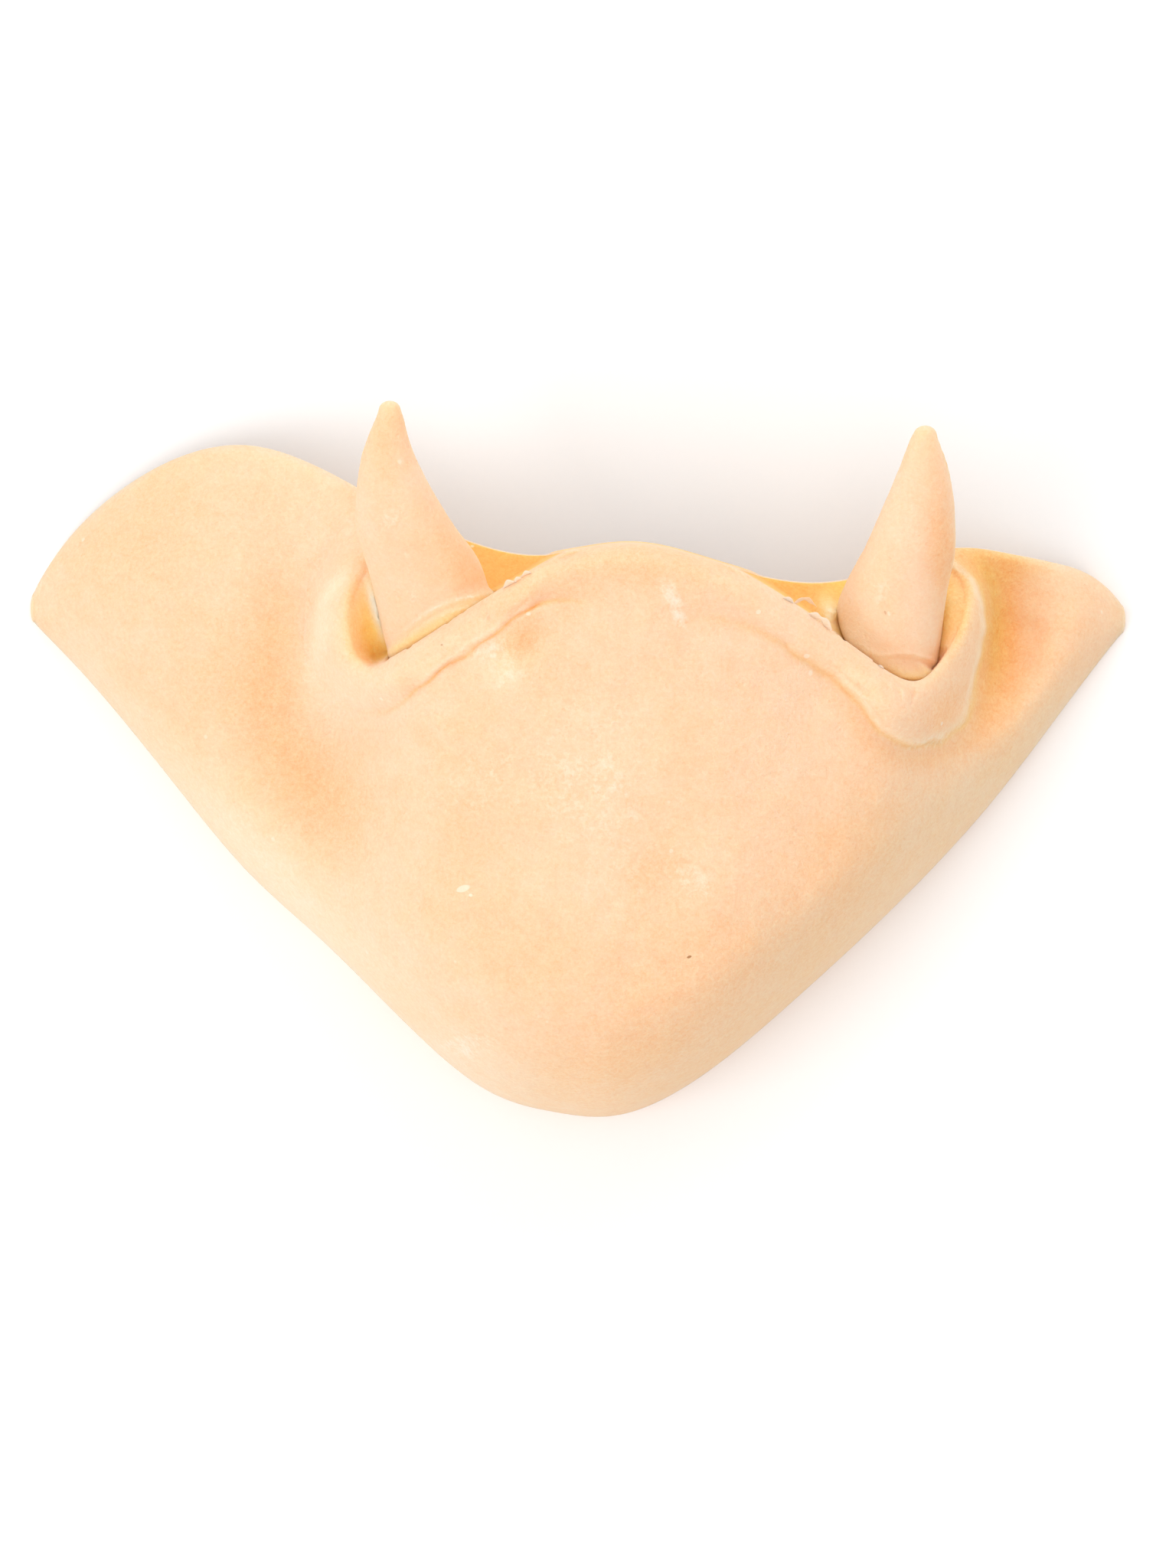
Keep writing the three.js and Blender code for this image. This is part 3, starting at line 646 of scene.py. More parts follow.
def shell_rows(u):
    """Row shares for the face and the hollow: rows gather at the jaw edge, the lip's roll and its drop."""
    length = places(u, np.zeros((len(u), 1))).length[:, 0]
    lip = np.minimum(lip_places(u) * length, length - np.minimum(1, length / 4))
    start = np.zeros_like(lip)
    rounded = 0.14 * lip
    roll = lip - np.minimum(10, lip / 2.5)
    foot = lip + np.minimum(2.4, (length - lip) / 2)
    low = lip - np.minimum(12, lip / 2)
    high = lip - np.minimum(3, lip / 6)
    face = banded([start, rounded, roll, lip, foot, length], FACE_ROWS)
    hollow = banded([start, rounded, low, high, length], HOLLOW_ROWS)
    return face / length[:, None], hollow / length[:, None]


def domed_ends(loops, bulge):
    """Adds loops at both ends that shrink by the cosine and step out by bulge times the sine."""
    turns = (np.arange(1, TIP_ROWS + 1) / (TIP_ROWS + 1) * math.pi / 2)[:, None, None]
    ends = []
    for loop, neighbour in ((loops[0], loops[1]), (loops[-1], loops[-2])):
        centre = loop.mean(axis=0)
        way = centre - neighbour.mean(axis=0)
        way = np.array([way[0], way[1], 0.0]) / np.hypot(way[0], way[1])
        ends.append(centre + (loop - centre) * np.cos(turns) + way * bulge * np.sin(turns))
    return np.concatenate([ends[0][::-1], loops, ends[1]])


def tube_faces(count, size):
    """Quads between neighbouring loops of a tube, and triangles from its end loops to two end points."""
    i, j = np.meshgrid(np.arange(count - 1), np.arange(size), indexing="ij")
    a, b = i * size + j, i * size + (j + 1) % size
    quads = np.stack([a, a + size, b + size, b], axis=-1).reshape(-1, 4)
    j = np.arange(size)
    k = (j + 1) % size
    last = (count - 1) * size
    start = np.stack([j, k, np.full(size, count * size)], axis=-1)
    end = np.stack([last + k, last + j, np.full(size, count * size + 1)], axis=-1)
    return quads, np.concatenate([start, end])


def add_object(name, data):
    """A new object in the scene's collection."""
    added = bpy.data.objects.new(name, data)
    bpy.context.scene.collection.objects.link(added)
    return added


def tube_object(name, loops, masks, material):
    """A closed smooth mesh of loops in millimetres, with one float attribute for each mask."""
    count, size = loops.shape[:2]
    ends = np.stack([loops[0].mean(axis=0), loops[-1].mean(axis=0)])
    points = np.concatenate([loops.reshape(-1, 3), ends]) * MM
    quads, triangles = tube_faces(count, size)
    corners = np.concatenate([quads.ravel(), triangles.ravel()])
    starts = np.concatenate([np.arange(len(quads)) * 4, len(quads) * 4 + np.arange(len(triangles)) * 3])
    mesh = bpy.data.meshes.new(name)
    mesh.vertices.add(len(points))
    mesh.vertices.foreach_set("co", points.ravel())
    mesh.loops.add(len(corners))
    mesh.loops.foreach_set("vertex_index", corners)
    mesh.polygons.add(len(starts))
    mesh.polygons.foreach_set("loop_start", starts)
    mesh.update(calc_edges=True)
    for mask, values in masks.items():
        ring = values.reshape(count, size)
        whole = np.concatenate([ring.ravel(), [ring[0].mean(), ring[-1].mean()]])
        mesh.attributes.new(mask, "FLOAT", "POINT").data.foreach_set("value", whole)
    if mesh.validate():
        raise RuntimeError(f"{name} has faces that aren't valid")
    mesh.shade_smooth()
    mesh.materials.append(material)
    return add_object(name, mesh)


def shell_loops(settings):
    """One loop for each column: over the face, round the mouth rim and back under the hollow's roof."""
    ends = np.array([0.0] + [end for end, _ in COLUMN_BANDS])
    u = banded(ends, [steps for _, steps in COLUMN_BANDS])
    face_rows, hollow_rows = shell_rows(u)
    over, masks = outer_skin(u, face_rows, settings)
    under = inner_skin(u, hollow_rows, settings)[:, ::-1]
    along = places(u, np.ones((len(u), 1))).along
    t = (np.arange(1, BACK_ROWS + 1) / (BACK_ROWS + 1))[None, :, None]
    drop = over[:, -1:] * (1 - t) + under[:, :1] * t
    tall = np.abs(over[:, -1:, 2:] - under[:, :1, 2:])
    bulge = np.minimum(0.1 * tall, BACK_BULGE) * np.sin(math.pi * t)
    drop[..., :2] += bulge * along
    loops = np.concatenate([over, drop, under], axis=1)
    size = loops.shape[1]
    grown = {}
    for mask, values in masks.items():
        rest = np.ones((len(u), size - values.shape[1])) * (1.0 if mask == "inside" else 0.0)
        # Painted shade down the back wall behind the lip, fuller where the wall is tall.
        if mask in ("fold_shade", "gum"):
            rest[:, :BACK_ROWS] = 0.8 * smoothstep(tall[..., 0], 2, 12) * smoothstep(t[..., 0], 0, 0.6)
        if mask == "inside":
            rest[:, :BACK_ROWS] = t[..., 0] ** 3
        whole = np.concatenate([values, rest], axis=1)
        grown[mask] = np.concatenate([whole[:1]] * TIP_ROWS + [whole] + [whole[-1:]] * TIP_ROWS)
    return domed_ends(loops, TIP_BULGE), grown


def tusk_rings(rows, steps):
    """Shares, narrowing, centres and half sizes of a tusk's rings: a round foot, the table's axis, a tip.

    The tip's dome starts at a lean, so that it goes on from the tusk's taper.
    """
    turn = np.arange(1, CAP_RINGS + 1) / (CAP_RINGS + 1)
    foot, tip = turn[::-1] * math.pi / 2, TIP_LEAN + turn * (math.pi / 2 - TIP_LEAN)
    share = np.concatenate([np.zeros(CAP_RINGS), np.linspace(0, 1, steps + 1), np.ones(CAP_RINGS)])
    narrow = np.concatenate([np.cos(foot), np.ones(steps + 1), np.cos(tip) / math.cos(TIP_LEAN)])
    stand = np.concatenate([
        FOOT_ROUND * np.sin(foot), np.zeros(steps + 1), TIP_ROUND * (np.sin(tip) - math.sin(TIP_LEAN)),
    ])
    ways = np.concatenate([
        np.tile(unit(rows[0, :3] - rows[1, :3]), (CAP_RINGS, 1)),
        np.tile(unit(rows[-1, :3] - rows[-2, :3]), (steps + 1 + CAP_RINGS, 1)),
    ])
    axis = natural_spline(np.linspace(0, 1, len(rows)), rows)(share)
    return share[:, None], narrow[:, None], axis[:, :3] + ways * stand[:, None], axis[:, 3:]


def tusk_loops(rows, webs, settings, seed):
    """Ellipses along a tusk's axis, with uneven sides and a fillet at the lip.

    Webs are paths in plan. Each lifts the upper side by a ridge exp(-(d / width)^2) along it and by a
    step on the side towards the lip.
    """
    share, narrow, centre, half_sizes = tusk_rings(rows, settings.steps)
    half_width, half_depth = half_sizes[:, :1], half_sizes[:, 1:]
    angle = (2 * math.pi * np.arange(settings.sides) / settings.sides)[None, :]
    length = np.linalg.norm(rows[-1, :3] - rows[0, :3]) * share + 0 * angle
    x = centre[:, :1] + half_width * narrow * np.cos(angle)
    y = centre[:, 1:2] + 0 * angle
    upper = smoothstep(np.sin(angle), -0.1, 0.5)
    around = angle * half_width
    uneven = ripples(length, around, 9.0, seed) + 0.3 * ripples(length, around * 2, 4.0, seed + 1)
    grow = settings.unevenness / MM * uneven * narrow * smoothstep(length, 0, 3)
    pale, shade = np.zeros_like(x), np.zeros_like(x)
    for web in webs:
        distance, lift = from_path(x, y, sample_path(web, WEB_SAMPLES))
        ridge = lift[..., 0] * bell(distance, WEB_WIDTH)
        below = smoothstep(distance, -0.2, 0.5)
        grow = grow + settings.webs * upper * narrow * (ridge + lift[..., 1] * below)
        # Painted highlight along each web's ridge, and painted shade below it.
        pale = pale + ridge
        shade = shade + lift[..., 0] * below * np.exp(-np.maximum(distance, 0) / 2.5)
    distance, lip = from_lip_edge(x, y)
    along_lip = (1 - smoothstep(lip[..., 5], 0.8, 1.05)) * (1 - smoothstep(y, 17.5, 19.5))
    fillet = bell(np.minimum(distance, 0), FILLET_WIDTH) * (1 - smoothstep(distance, 0.4, 1.6)) * along_lip
    crevice_shade = bell(distance, CREVICE_SHADE_WIDTH) * along_lip
    grow = grow + settings.fillet / MM * upper * narrow * fillet
    across = (half_width * narrow + grow) * np.cos(angle)
    out = (half_depth * narrow + grow) * np.sin(angle)
    loops = np.stack([centre[:, :1] + across, y, centre[:, 2:] + out], axis=-1)
    # The masks paint shade in the crevice at the lip, below the webs and on the underside, highlight along
    # the web ridges, and light where the lip shades the tusk.
    masks = {
        "fold_shade": np.clip((0.5 * crevice_shade + 0.3 * shade) * upper + 0.15 * (1 - upper), 0, 1),
        "pale": bells(x, y, TUSK_PAINTED_LIGHT),
        "powder_and_highlight": np.clip((bells(x, y, POWDER_AND_HIGHLIGHTS) + 1.1 * pale) * upper, 0, 1),
        "blush_and_shade": np.clip(bells(x, y, BLUSH_AND_SHADE) * upper + 0.1 * (1 - upper), 0, 1),
        "inside": np.zeros_like(x),
    }
    return loops, masks


def flake_loops(row, face, seed):
    """A ragged sliver: a thin ellipse carried along a bowed path, with an uneven width. The path arches
    between two points of the face.
    """
    x, y, heading, length, half_width, arch, bow = row
    t = np.linspace(0.01, 0.99, FLAKE_RINGS)
    angle = math.radians(heading)
    way = np.array([math.cos(angle), math.sin(angle)])
    side = np.array([-way[1], way[0]])
    swing = np.sin(math.pi * t)
    plan = np.array([x, y]) + way * (length * (t - 0.5))[:, None] + side * (bow * swing)[:, None]
    nearest = [np.argmin(np.hypot(*(face[:, :2] - place).T)) for place in (plan[0], plan[-1])]
    start, end = face[nearest, 2]
    z = start + (end - start) * t + arch * swing
    ragged = 1 + 0.35 * ripples(t * length, np.full_like(t, seed), 1.5, seed)
    wide = half_width * swing**0.6 * np.clip(ragged, 0.4, 1.7)
    thick = np.minimum(FLAKE_HALF_DEPTH * swing**0.3, wide)
    turn = 2 * math.pi * np.arange(FLAKE_SIDES) / FLAKE_SIDES
    lean = np.radians(18 + 14 * ripples(t * length, np.full_like(t, seed + 3), 2.5, seed + 1))
    flat = wide[:, None] * np.cos(turn)
    up = thick[:, None] * np.sin(turn)
    level = flat * np.cos(lean)[:, None] - up * np.sin(lean)[:, None]
    rise = flat * np.sin(lean)[:, None] + up * np.cos(lean)[:, None]
    across = plan[:, None, :] + side * level[..., None]
    loops = np.concatenate([across, (z[:, None] + rise)[..., None]], axis=-1)
    return loops[:, ::-1]


class Wire:
    """A number that varies over a surface. Arithmetic on it adds Math nodes."""

    def __init__(self, tree, socket):
        self.tree = tree
        self.socket = socket

    def math(self, operation, *values):
        return self.tree.node("ShaderNodeMath", {"operation": operation}, dict(enumerate(values)))

    def __add__(self, other):
        return self.math("ADD", self, other)

    def __sub__(self, other):
        return self.math("SUBTRACT", self, other)

    def __rsub__(self, other):
        return self.math("SUBTRACT", other, self)

    def __mul__(self, other):
        return self.math("MULTIPLY", self, other)

    def __truediv__(self, other):
        return self.math("DIVIDE", self, other)

    def __rtruediv__(self, other):
        return self.math("DIVIDE", other, self)

    __radd__ = __add__
    __rmul__ = __mul__

    def smooth(self, low, high):
        settings = {"interpolation_type": "SMOOTHSTEP"}
        inputs = {"Value": self, "From Min": low, "From Max": high}
        return self.tree.node("ShaderNodeMapRange", settings, inputs)


class Finish:
    """A material whose nodes are written as expressions on its one Principled shader."""

    def __init__(self, name):
        self.material = bpy.data.materials.new(name)
        self.material.use_nodes = True
        self.nodes = self.material.node_tree.nodes
        self.links = self.material.node_tree.links
        self.shader = self.nodes["Principled BSDF"]
        self.coords = self.node("ShaderNodeTexCoord", output="Object")

    def node(self, kind, settings=None, inputs=None, output=0):
        node = self.nodes.new(kind)
        for name, value in (settings or {}).items():
            setattr(node, name, value)
        self.feed(node, inputs or {})
        return Wire(self, node.outputs[output])

    def feed(self, node, inputs):
        for name, value in inputs.items():
            if isinstance(value, Wire):
                self.links.new(value.socket, node.inputs[name])
            else:
                node.inputs[name].default_value = value

    def mask(self, name):
        return self.node("ShaderNodeAttribute", {"attribute_name": name}, output="Fac")

    def mix(self, factor, first, second, blend="MIX"):
        settings = {"data_type": "RGBA", "blend_type": blend}
        return self.node("ShaderNodeMix", settings, {0: factor, 6: first, 7: second}, output=2)

    def stretched(self, scale):
        return self.node("ShaderNodeMapping", inputs={"Vector": self.coords, "Scale": scale})

    def noise(self, size, detail, rough, vector=None):
        inputs = {"Vector": vector or self.coords, "Scale": 1 / (size * MM)}
        return self.node("ShaderNodeTexNoise", inputs={**inputs, "Detail": detail, "Roughness": rough})

    def grains(self, size):
        inputs = {"Vector": self.coords, "Scale": 1 / (size * MM)}
        return self.node("ShaderNodeTexVoronoi", inputs=inputs, output="Distance")

    def spot(self, x, y, half_length, half_width, turn):
        """1 inside a small ellipse on the plan, fading at its edge."""
        angle = math.radians(turn)
        apart = self.node("ShaderNodeSeparateXYZ", inputs={0: self.coords}, output="X")
        east = apart / MM - x
        north = Wire(self, apart.socket.node.outputs["Y"]) / MM - y
        along = (east * math.cos(angle) + north * math.sin(angle)) / half_length
        across = (north * math.cos(angle) - east * math.sin(angle)) / half_width
        return 1 - (along * along + across * across).smooth(0.55, 1.1)


def linear(red, green, blue):
    """A screen colour of 0 to 255 as linear light."""
    values = np.array([red, green, blue]) / 255
    return tuple(np.where(values <= 0.04045, values / 12.92, ((values + 0.055) / 1.055) ** 2.4).tolist())


def opaque(colour):
    """A colour with full alpha."""
    return (*colour, 1.0)


def latex_finish(name, latex, grain, roughness, spots=(), strokes=0.0):
    """Cast latex: mottled colour, with painted shade in folds and hollows, painted highlight on lit ridges
    and edges, pale powder, and a fine sandy grain.
    """
    finish = Finish(name)
    masks = ("fold_shade", "gum", "pale", "powder_and_highlight", "blush_and_shade", "inside")
    fold_shade, gum, pale, powder_and_highlight, blush_and_shade, inside = (finish.mask(mask) for mask in masks)
    clouds = finish.noise(17.0, 2.0, 0.5)
    blotches = finish.noise(2.2, 4.0, 0.62)
    curds = finish.noise(1.1, 2.0, 0.55)
    sand = finish.noise(0.42, 3.0, 0.65)
    fine = finish.noise(0.16, 2.0, 0.6)
    pores = finish.grains(0.9).smooth(0.08, 0.30)
    mottle = (clouds * 0.6 + blotches * 0.4).smooth(0.35, 0.66)
    colour = finish.mix(mottle, opaque(latex.pale), opaque(latex.warm))
    # Warm patches that are mostly painted shade, painted shade in folds and behind the lip, painted
    # highlight on lit ridges and edges, and the inside's colour, over the mottled latex.
    layers = (
        (blush_and_shade * (0.75 + blotches * 0.5), latex.blush_and_shade),
        (fold_shade * 0.9, latex.deep_shade),
        (gum, latex.gum),
        (pale * 0.9, latex.highlight_cream),
        (inside * 0.55, latex.inner),
    )
    for cover, tone in layers:
        colour = finish.mix(cover, colour, opaque(tone))
    depth = (0.85 + blush_and_shade * 0.4) * grain
    speckle = ((sand - 0.5) * 1.5 + (fine - 0.5) * 0.8 + (curds - 0.5) * 0.8) * depth + 0.5
    colour = finish.mix(0.6, colour, finish.mix(speckle, (0.60, 0.50, 0.40, 1), (1, 1, 1, 1)), "SOFT_LIGHT")
    # Powder, with painted highlights on lit flanks and edges, broken up by the grain.
    broken = powder_and_highlight + (blotches - 0.5) * 1.8 + (sand - 0.5) * 1.0
    dust_and_highlight = broken.smooth(0.25, 1.1) * (powder_and_highlight * 2.0).smooth(0.0, 1.0)
    colour = finish.mix(dust_and_highlight * 0.85, colour, opaque(latex.powder_and_highlight))
    crumbs = finish.grains(5.5).smooth(0.03, 0.055)
    colour = finish.mix((1 - crumbs) * (1 - inside) * 0.5, colour, opaque(latex.powder_and_highlight))
    for x, y, half_length, half_width, turn, shade in spots:
        cover = finish.spot(x, y, half_length, half_width, turn) * (1 - inside)
        colour = finish.mix(cover * abs(shade), colour, opaque(latex.powder_and_highlight if shade > 0 else latex.speck))
    height = curds * 0.5 + sand * 0.55 + fine * 0.25 + pores * 0.25
    if strokes:
        dashes = finish.noise(0.5, 2.0, 0.5, finish.stretched((1.0, 0.22, 1.0)))
        height = height + dashes * strokes
    relief = {"Strength": 1.0, "Distance": latex.grain_depth, "Height": height}
    bump = finish.node("ShaderNodeBump", inputs=relief, output="Normal")
    finish.feed(finish.shader, {
        "Base Color": colour,
        "Roughness": roughness + sand * 0.16 + dust_and_highlight * 0.2 - fold_shade * 0.05 - inside * 0.12,
        "Normal": bump,
        "Specular IOR Level": 0.18,
        "Subsurface Weight": latex.glow,
        "Subsurface Radius": (1.0, 0.85, 0.60),
        "Subsurface Scale": latex.glow_depth,
    })
    return finish.material


def colour_setting(name, description, *levels):
    """A colour, with its default in screen levels of 0 to 255."""
    return FloatVectorProperty(
        name=name, description=description, subtype="COLOR", size=3, min=0, max=1, default=linear(*levels))


def length_setting(name, description, default, least=0.0):
    """A length in metres."""
    return FloatProperty(
        name=name, description=description, unit="LENGTH", subtype="DISTANCE", min=least, default=default)


def share_setting(name, description, default, most=1.0):
    """A share, from nothing up to the most that it may be."""
    return FloatProperty(
        name=name, description=description, subtype="FACTOR", min=0, max=most, default=default)


def power_setting(name, description, default):
    """A lamp's power in watts."""
    return FloatProperty(
        name=name, description=description, subtype="POWER", unit="POWER", min=0, default=default)


class LatexSettings(bpy.types.PropertyGroup):
    """Colours and finish of the cast latex."""

    pale: colour_setting("Pale", "Lightest latex", 244, 201, 169)
    warm: colour_setting("Warm", "Warmer clouds in the latex", 243, 191, 152)
    # Warm tone, mostly painted shade in shallow hollows.
    blush_and_shade: colour_setting("Blush", "Latex in shallow hollows", 244, 180, 134)
    # Painted shade in folds and pockets.
    deep_shade: colour_setting("Deep", "Latex in folds and pockets", 242, 190, 94)
    # Painted shade behind the lip and in the valleys.
    gum: colour_setting("Gum", "Latex behind the lip", 240, 170, 92)
    # Painted highlight on the folds' ridges and lit edges.
    highlight_cream: colour_setting("Cream", "Palest latex, on the folds' ridges", 246, 222, 190)
    inner: colour_setting("Inner", "Latex inside the hollow", 250, 198, 146)
    # Powder, and painted highlights on lit flanks and edges.
    powder_and_highlight: colour_setting("Powder", "Powder left from the mould", 248, 232, 212)
    speck: colour_setting("Speck", "Dark specks", 176, 124, 82)
    grain_depth: length_setting("Grain depth", "Height of the sandy grain", 0.00016)
    glow: share_setting("Glow", "Share of light that passes under the surface", 0.6)
    glow_depth: length_setting("Glow depth", "How far that light spreads", 0.003)


class ShellSettings(bpy.types.PropertyGroup):
    """Sizes of the hollow skin."""

    rim_wall: length_setting("Rim wall", "Wall at the glued edges", 0.0015, 0.0005)
    body_wall: length_setting("Body wall", "Wall away from the edges", 0.0024, 0.0005)
    lip_round: length_setting("Lip round", "Rounding of the lip's back edge", 0.0024, 0.0005)
    rim_round: length_setting("Rim round", "Rounding of the wings' upper edges", 0.0009, 0.0003)
    unevenness: length_setting("Unevenness", "Height of the hand-made ripples", 0.0001)
    crease_strength: share_setting("Creases", "Depth of the small creases, as a share", 1.0, 2.0)


class TuskSettings(bpy.types.PropertyGroup):
    """Sizes of the tusks."""

    fillet: length_setting("Fillet", "Rise of a tusk's foot to the lip's edge", 0.0012)
    webs: share_setting("Webs", "Height of the webs across the feet, as a share", 1.0, 2.0)
    unevenness: length_setting("Unevenness", "Height of the hand-made ripples", 0.00004)
    steps: IntProperty(name="Steps", description="Rings along a tusk", min=20, default=190)
    sides: IntProperty(name="Sides", description="Points round a ring", min=16, default=128)


class StageSettings(bpy.types.PropertyGroup):
    """Floor, light and camera."""

    floor: FloatVectorProperty(name="Floor", description="Colour of the floor", subtype="COLOR", size=3,
                               min=0, max=1, default=(0.96, 0.96, 0.96))
    sky: FloatProperty(name="Sky", description="Strength of the even white light", min=0, default=0.73)
    key: power_setting("Key light", "Power of the soft light from the lower left", 2.3)
    top: power_setting("Top light", "Power of the broad light over the piece", 4.35)
    back: power_setting("Back light", "Power of the soft light behind the lip", 2.1)
    distance: length_setting("Camera distance", "Height of the camera over the piece", 2.0, 0.3)
    view_height: length_setting("View height", "What the image's long side covers", 0.17067, 0.05)


class ChinPieceSettings(bpy.types.PropertyGroup):
    """All settings of the chin piece."""

    latex: PointerProperty(type=LatexSettings, name="Latex", description="Colours and finish")
    shell: PointerProperty(type=ShellSettings, name="Shell", description="Sizes of the skin")
    tusks: PointerProperty(type=TuskSettings, name="Tusks", description="Sizes of the tusks")
    stage: PointerProperty(type=StageSettings, name="Stage", description="Floor, light and camera")


# Small spots on the plan. Columns: x, y, half length, half width, turn in degrees, and strength, which
# is below zero for a dark speck.
SKIN_SPOTS = (
    (-12.3, -14.2, 0.8, 0.38, 18, 0.7),
    (-11.5, -14.9, 0.22, 0.18, 0, 0.8),
    (11.9, -21.5, 0.28, 0.15, 20, -0.9),
    (-14.6, 11.9, 0.15, 0.13, 0, -0.5),
    (19.3, 15.4, 0.3, 0.24, 30, 0.6),
    (24.5, 10.7, 0.34, 0.26, 0, 0.6),
    (24.9, 8.9, 0.22, 0.34, 0, 0.6),
    (-5.3, 15.2, 0.28, 0.22, 0, 0.6),
)
# A small pit on the right tusk: painted shade on its left and a painted highlight on its right.
TUSK_SPOTS = (
    (33, 15.4, 0.12, 0.26, 20, -0.35),
    (33.4, 15.3, 0.16, 0.3, 20, 0.5),
)


class CHIN_OT_shell(bpy.types.Operator):
    """Build the hollow skin with its lip, folds and rim"""

    bl_idname = "chin.shell"
    bl_label = "Chin shell"

    def execute(self, context):
        settings = context.scene.chin_piece
        loops, masks = shell_loops(settings.shell)
        skin = latex_finish("latex_skin", settings.latex, 1.0, 0.72, SKIN_SPOTS, 0.5)
        piece = tube_object("latex_shell", loops, masks, skin)
        piece.data.set_sharp_from_angle(angle=math.radians(70))
        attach(piece, "root")
        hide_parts("chin_shell")
        return {"FINISHED"}


class CHIN_OT_tusks(bpy.types.Operator):
    """Build the two tusks that stand behind the lip"""

    bl_idname = "chin.tusks"
    bl_label = "Tusks"

    def execute(self, context):
        settings = context.scene.chin_piece
        finish = latex_finish("latex_tusk", settings.latex, 0.8, 0.68, TUSK_SPOTS, 0.3)
        for side, rows, seed in (("left", LEFT_TUSK, 11), ("right", RIGHT_TUSK, 23)):
            loops, masks = tusk_loops(rows, TUSK_WEBS[side], settings.tusks, seed)
            piece = tube_object(f"latex_tusk_{side}", loops, masks, finish)
            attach(piece, "root")
            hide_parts(f"tusk_{side}")
        return {"FINISHED"}


class CHIN_OT_flakes(bpy.types.Operator):
    """Build the ragged slivers of latex where the tusks meet the lip"""

    bl_idname = "chin.flakes"
    bl_label = "Latex slivers"

    def execute(self, context):
        settings = context.scene.chin_piece
        shell = bpy.data.objects.get("latex_shell")
        if shell is None:
            raise RuntimeError("the shell comes before the slivers")
        points = np.empty(len(shell.data.vertices) * 3)
        shell.data.vertices.foreach_get("co", points)
        inside = np.empty(len(shell.data.vertices))
        shell.data.attributes["inside"].data.foreach_get("value", inside)
        face = points.reshape(-1, 3)[inside == 0] / MM
        finish = latex_finish("latex_sliver", settings.latex, 0.4, 0.5)
        for i, row in enumerate(FLAKES):
            loops = flake_loops(row, face, 40 + i)
            masks = {"powder_and_highlight": np.full(loops.shape[:2], 0.25)}
            piece = tube_object(f"latex_sliver_{i + 1}", loops, masks, finish)
            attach(piece, "root")
        return {"FINISHED"}


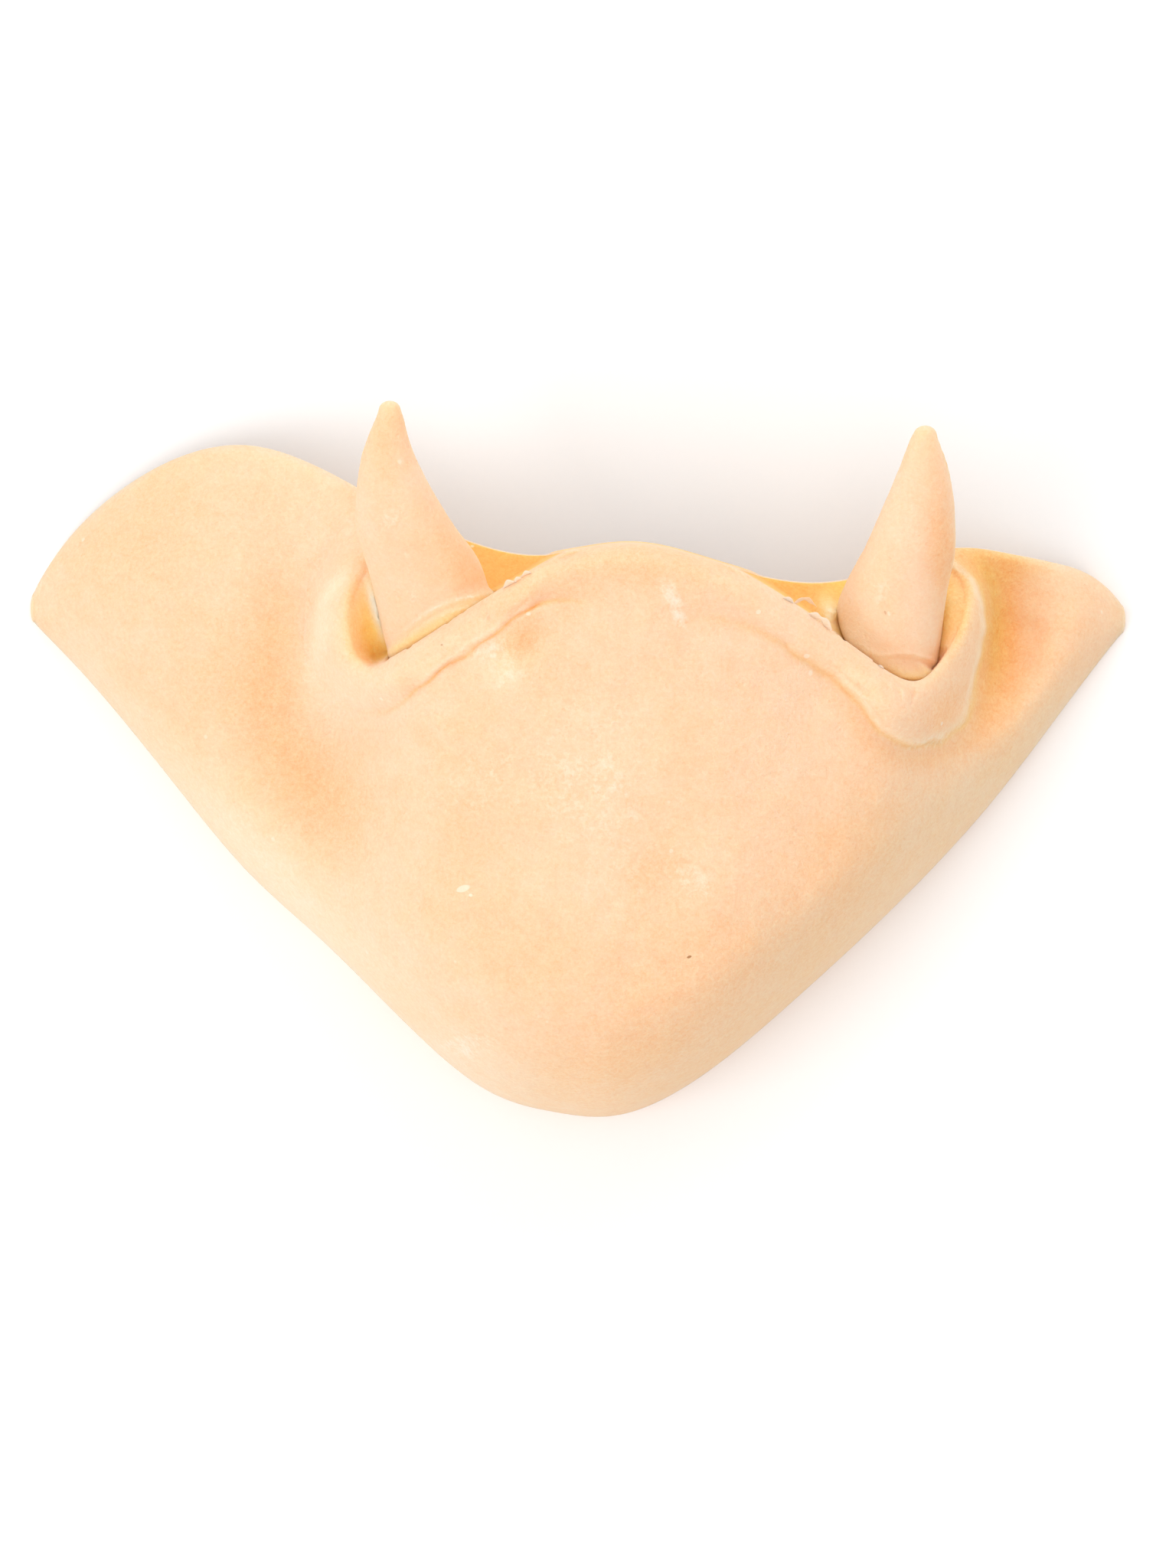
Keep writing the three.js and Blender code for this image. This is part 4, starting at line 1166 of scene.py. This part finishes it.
class CHIN_OT_stage(bpy.types.Operator):
    """Make the floor, the light and the camera"""

    bl_idname = "chin.stage"
    bl_label = "Stage"

    def execute(self, context):
        scene = context.scene
        settings = scene.chin_piece.stage
        self.floor(settings)
        self.light(scene, settings)
        self.camera(scene, settings)
        return {"FINISHED"}

    def floor(self, settings):
        finish = Finish("floor_card")
        weave = finish.noise(0.8, 3.0, 0.6)
        tint = finish.mix(weave, opaque(settings.floor), (0.98, 0.98, 0.98, 1.0))
        finish.feed(finish.shader, {"Base Color": tint, "Roughness": 0.8 + weave * 0.1})
        mesh = bpy.data.meshes.new("floor")
        reach = 3.0
        corners = [(-reach, -reach, 0), (reach, -reach, 0), (reach, reach, 0), (-reach, reach, 0)]
        mesh.from_pydata(corners, [], [(0, 1, 2, 3)])
        mesh.materials.append(finish.material)
        floor = add_object("floor", mesh)

    def light(self, scene, settings):
        world = bpy.data.worlds.new("white_room")
        world.use_nodes = True
        background = world.node_tree.nodes["Background"].inputs
        background["Color"].default_value = (1.0, 1.0, 1.0, 1.0)
        background["Strength"].default_value = settings.sky
        scene.world = world
        lamps = (
            ("soft_key", settings.key, 0.5, (1.0, 0.99, 0.97), (-0.55, -0.30, 0.66)),
            ("broad_top", settings.top, 1.2, (1.0, 1.0, 1.0), (-0.05, -0.05, 1.60)),
            ("soft_back", settings.back, 0.6, (1.0, 1.0, 1.0), (0.15, 0.65, 0.50)),
        )
        for name, power, size, colour, place in lamps:
            lamp = bpy.data.lights.new(name, "AREA")
            lamp.energy = power
            lamp.size = size
            lamp.color = colour
            light = add_object(name, lamp)
            light.location = place
            light.rotation_euler = (-Vector(place)).to_track_quat("-Z", "Y").to_euler()
            light.visible_camera = False
        scene.view_settings.view_transform = "Standard"
        scene.view_settings.look = "None"

    def camera(self, scene, settings):
        lens = bpy.data.cameras.new("camera")
        lens.sensor_width = 36.0
        lens.lens = lens.sensor_width * settings.distance / settings.view_height
        lens.clip_end = 20.0
        scene.camera = add_object("camera", lens)
        scene.camera.location = (0.0, -0.003, settings.distance)


class CHIN_PT_panel(bpy.types.Panel):
    """Lists the chin piece's settings and operators"""

    bl_idname = "CHIN_PT_panel"
    bl_label = "Chin piece"
    bl_space_type = "VIEW_3D"
    bl_region_type = "UI"
    bl_category = "Chin piece"

    def draw(self, context):
        settings = context.scene.chin_piece
        for group in ("latex", "shell", "tusks", "stage"):
            box = self.layout.box()
            box.label(text=group.capitalize())
            values = getattr(settings, group)
            for name in values.__annotations__:
                box.prop(values, name)
        for operator in OPERATORS:
            self.layout.operator(operator.bl_idname)


GROUPS = (LatexSettings, ShellSettings, TuskSettings, StageSettings, ChinPieceSettings)
OPERATORS = (CHIN_OT_shell, CHIN_OT_tusks, CHIN_OT_flakes, CHIN_OT_stage)
CLASSES = (*GROUPS, *OPERATORS, CHIN_PT_panel)


def register():
    for cls in CLASSES:
        bpy.utils.register_class(cls)
    bpy.types.Scene.chin_piece = PointerProperty(type=ChinPieceSettings)


def unregister():
    del bpy.types.Scene.chin_piece
    for cls in reversed(CLASSES):
        bpy.utils.unregister_class(cls)


def main():
    """Registers the classes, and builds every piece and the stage."""
    register()
    bpy.ops.chin.shell()
    bpy.ops.chin.tusks()
    bpy.ops.chin.flakes()
    bpy.ops.chin.stage()


if __name__ == "__main__":
    main()
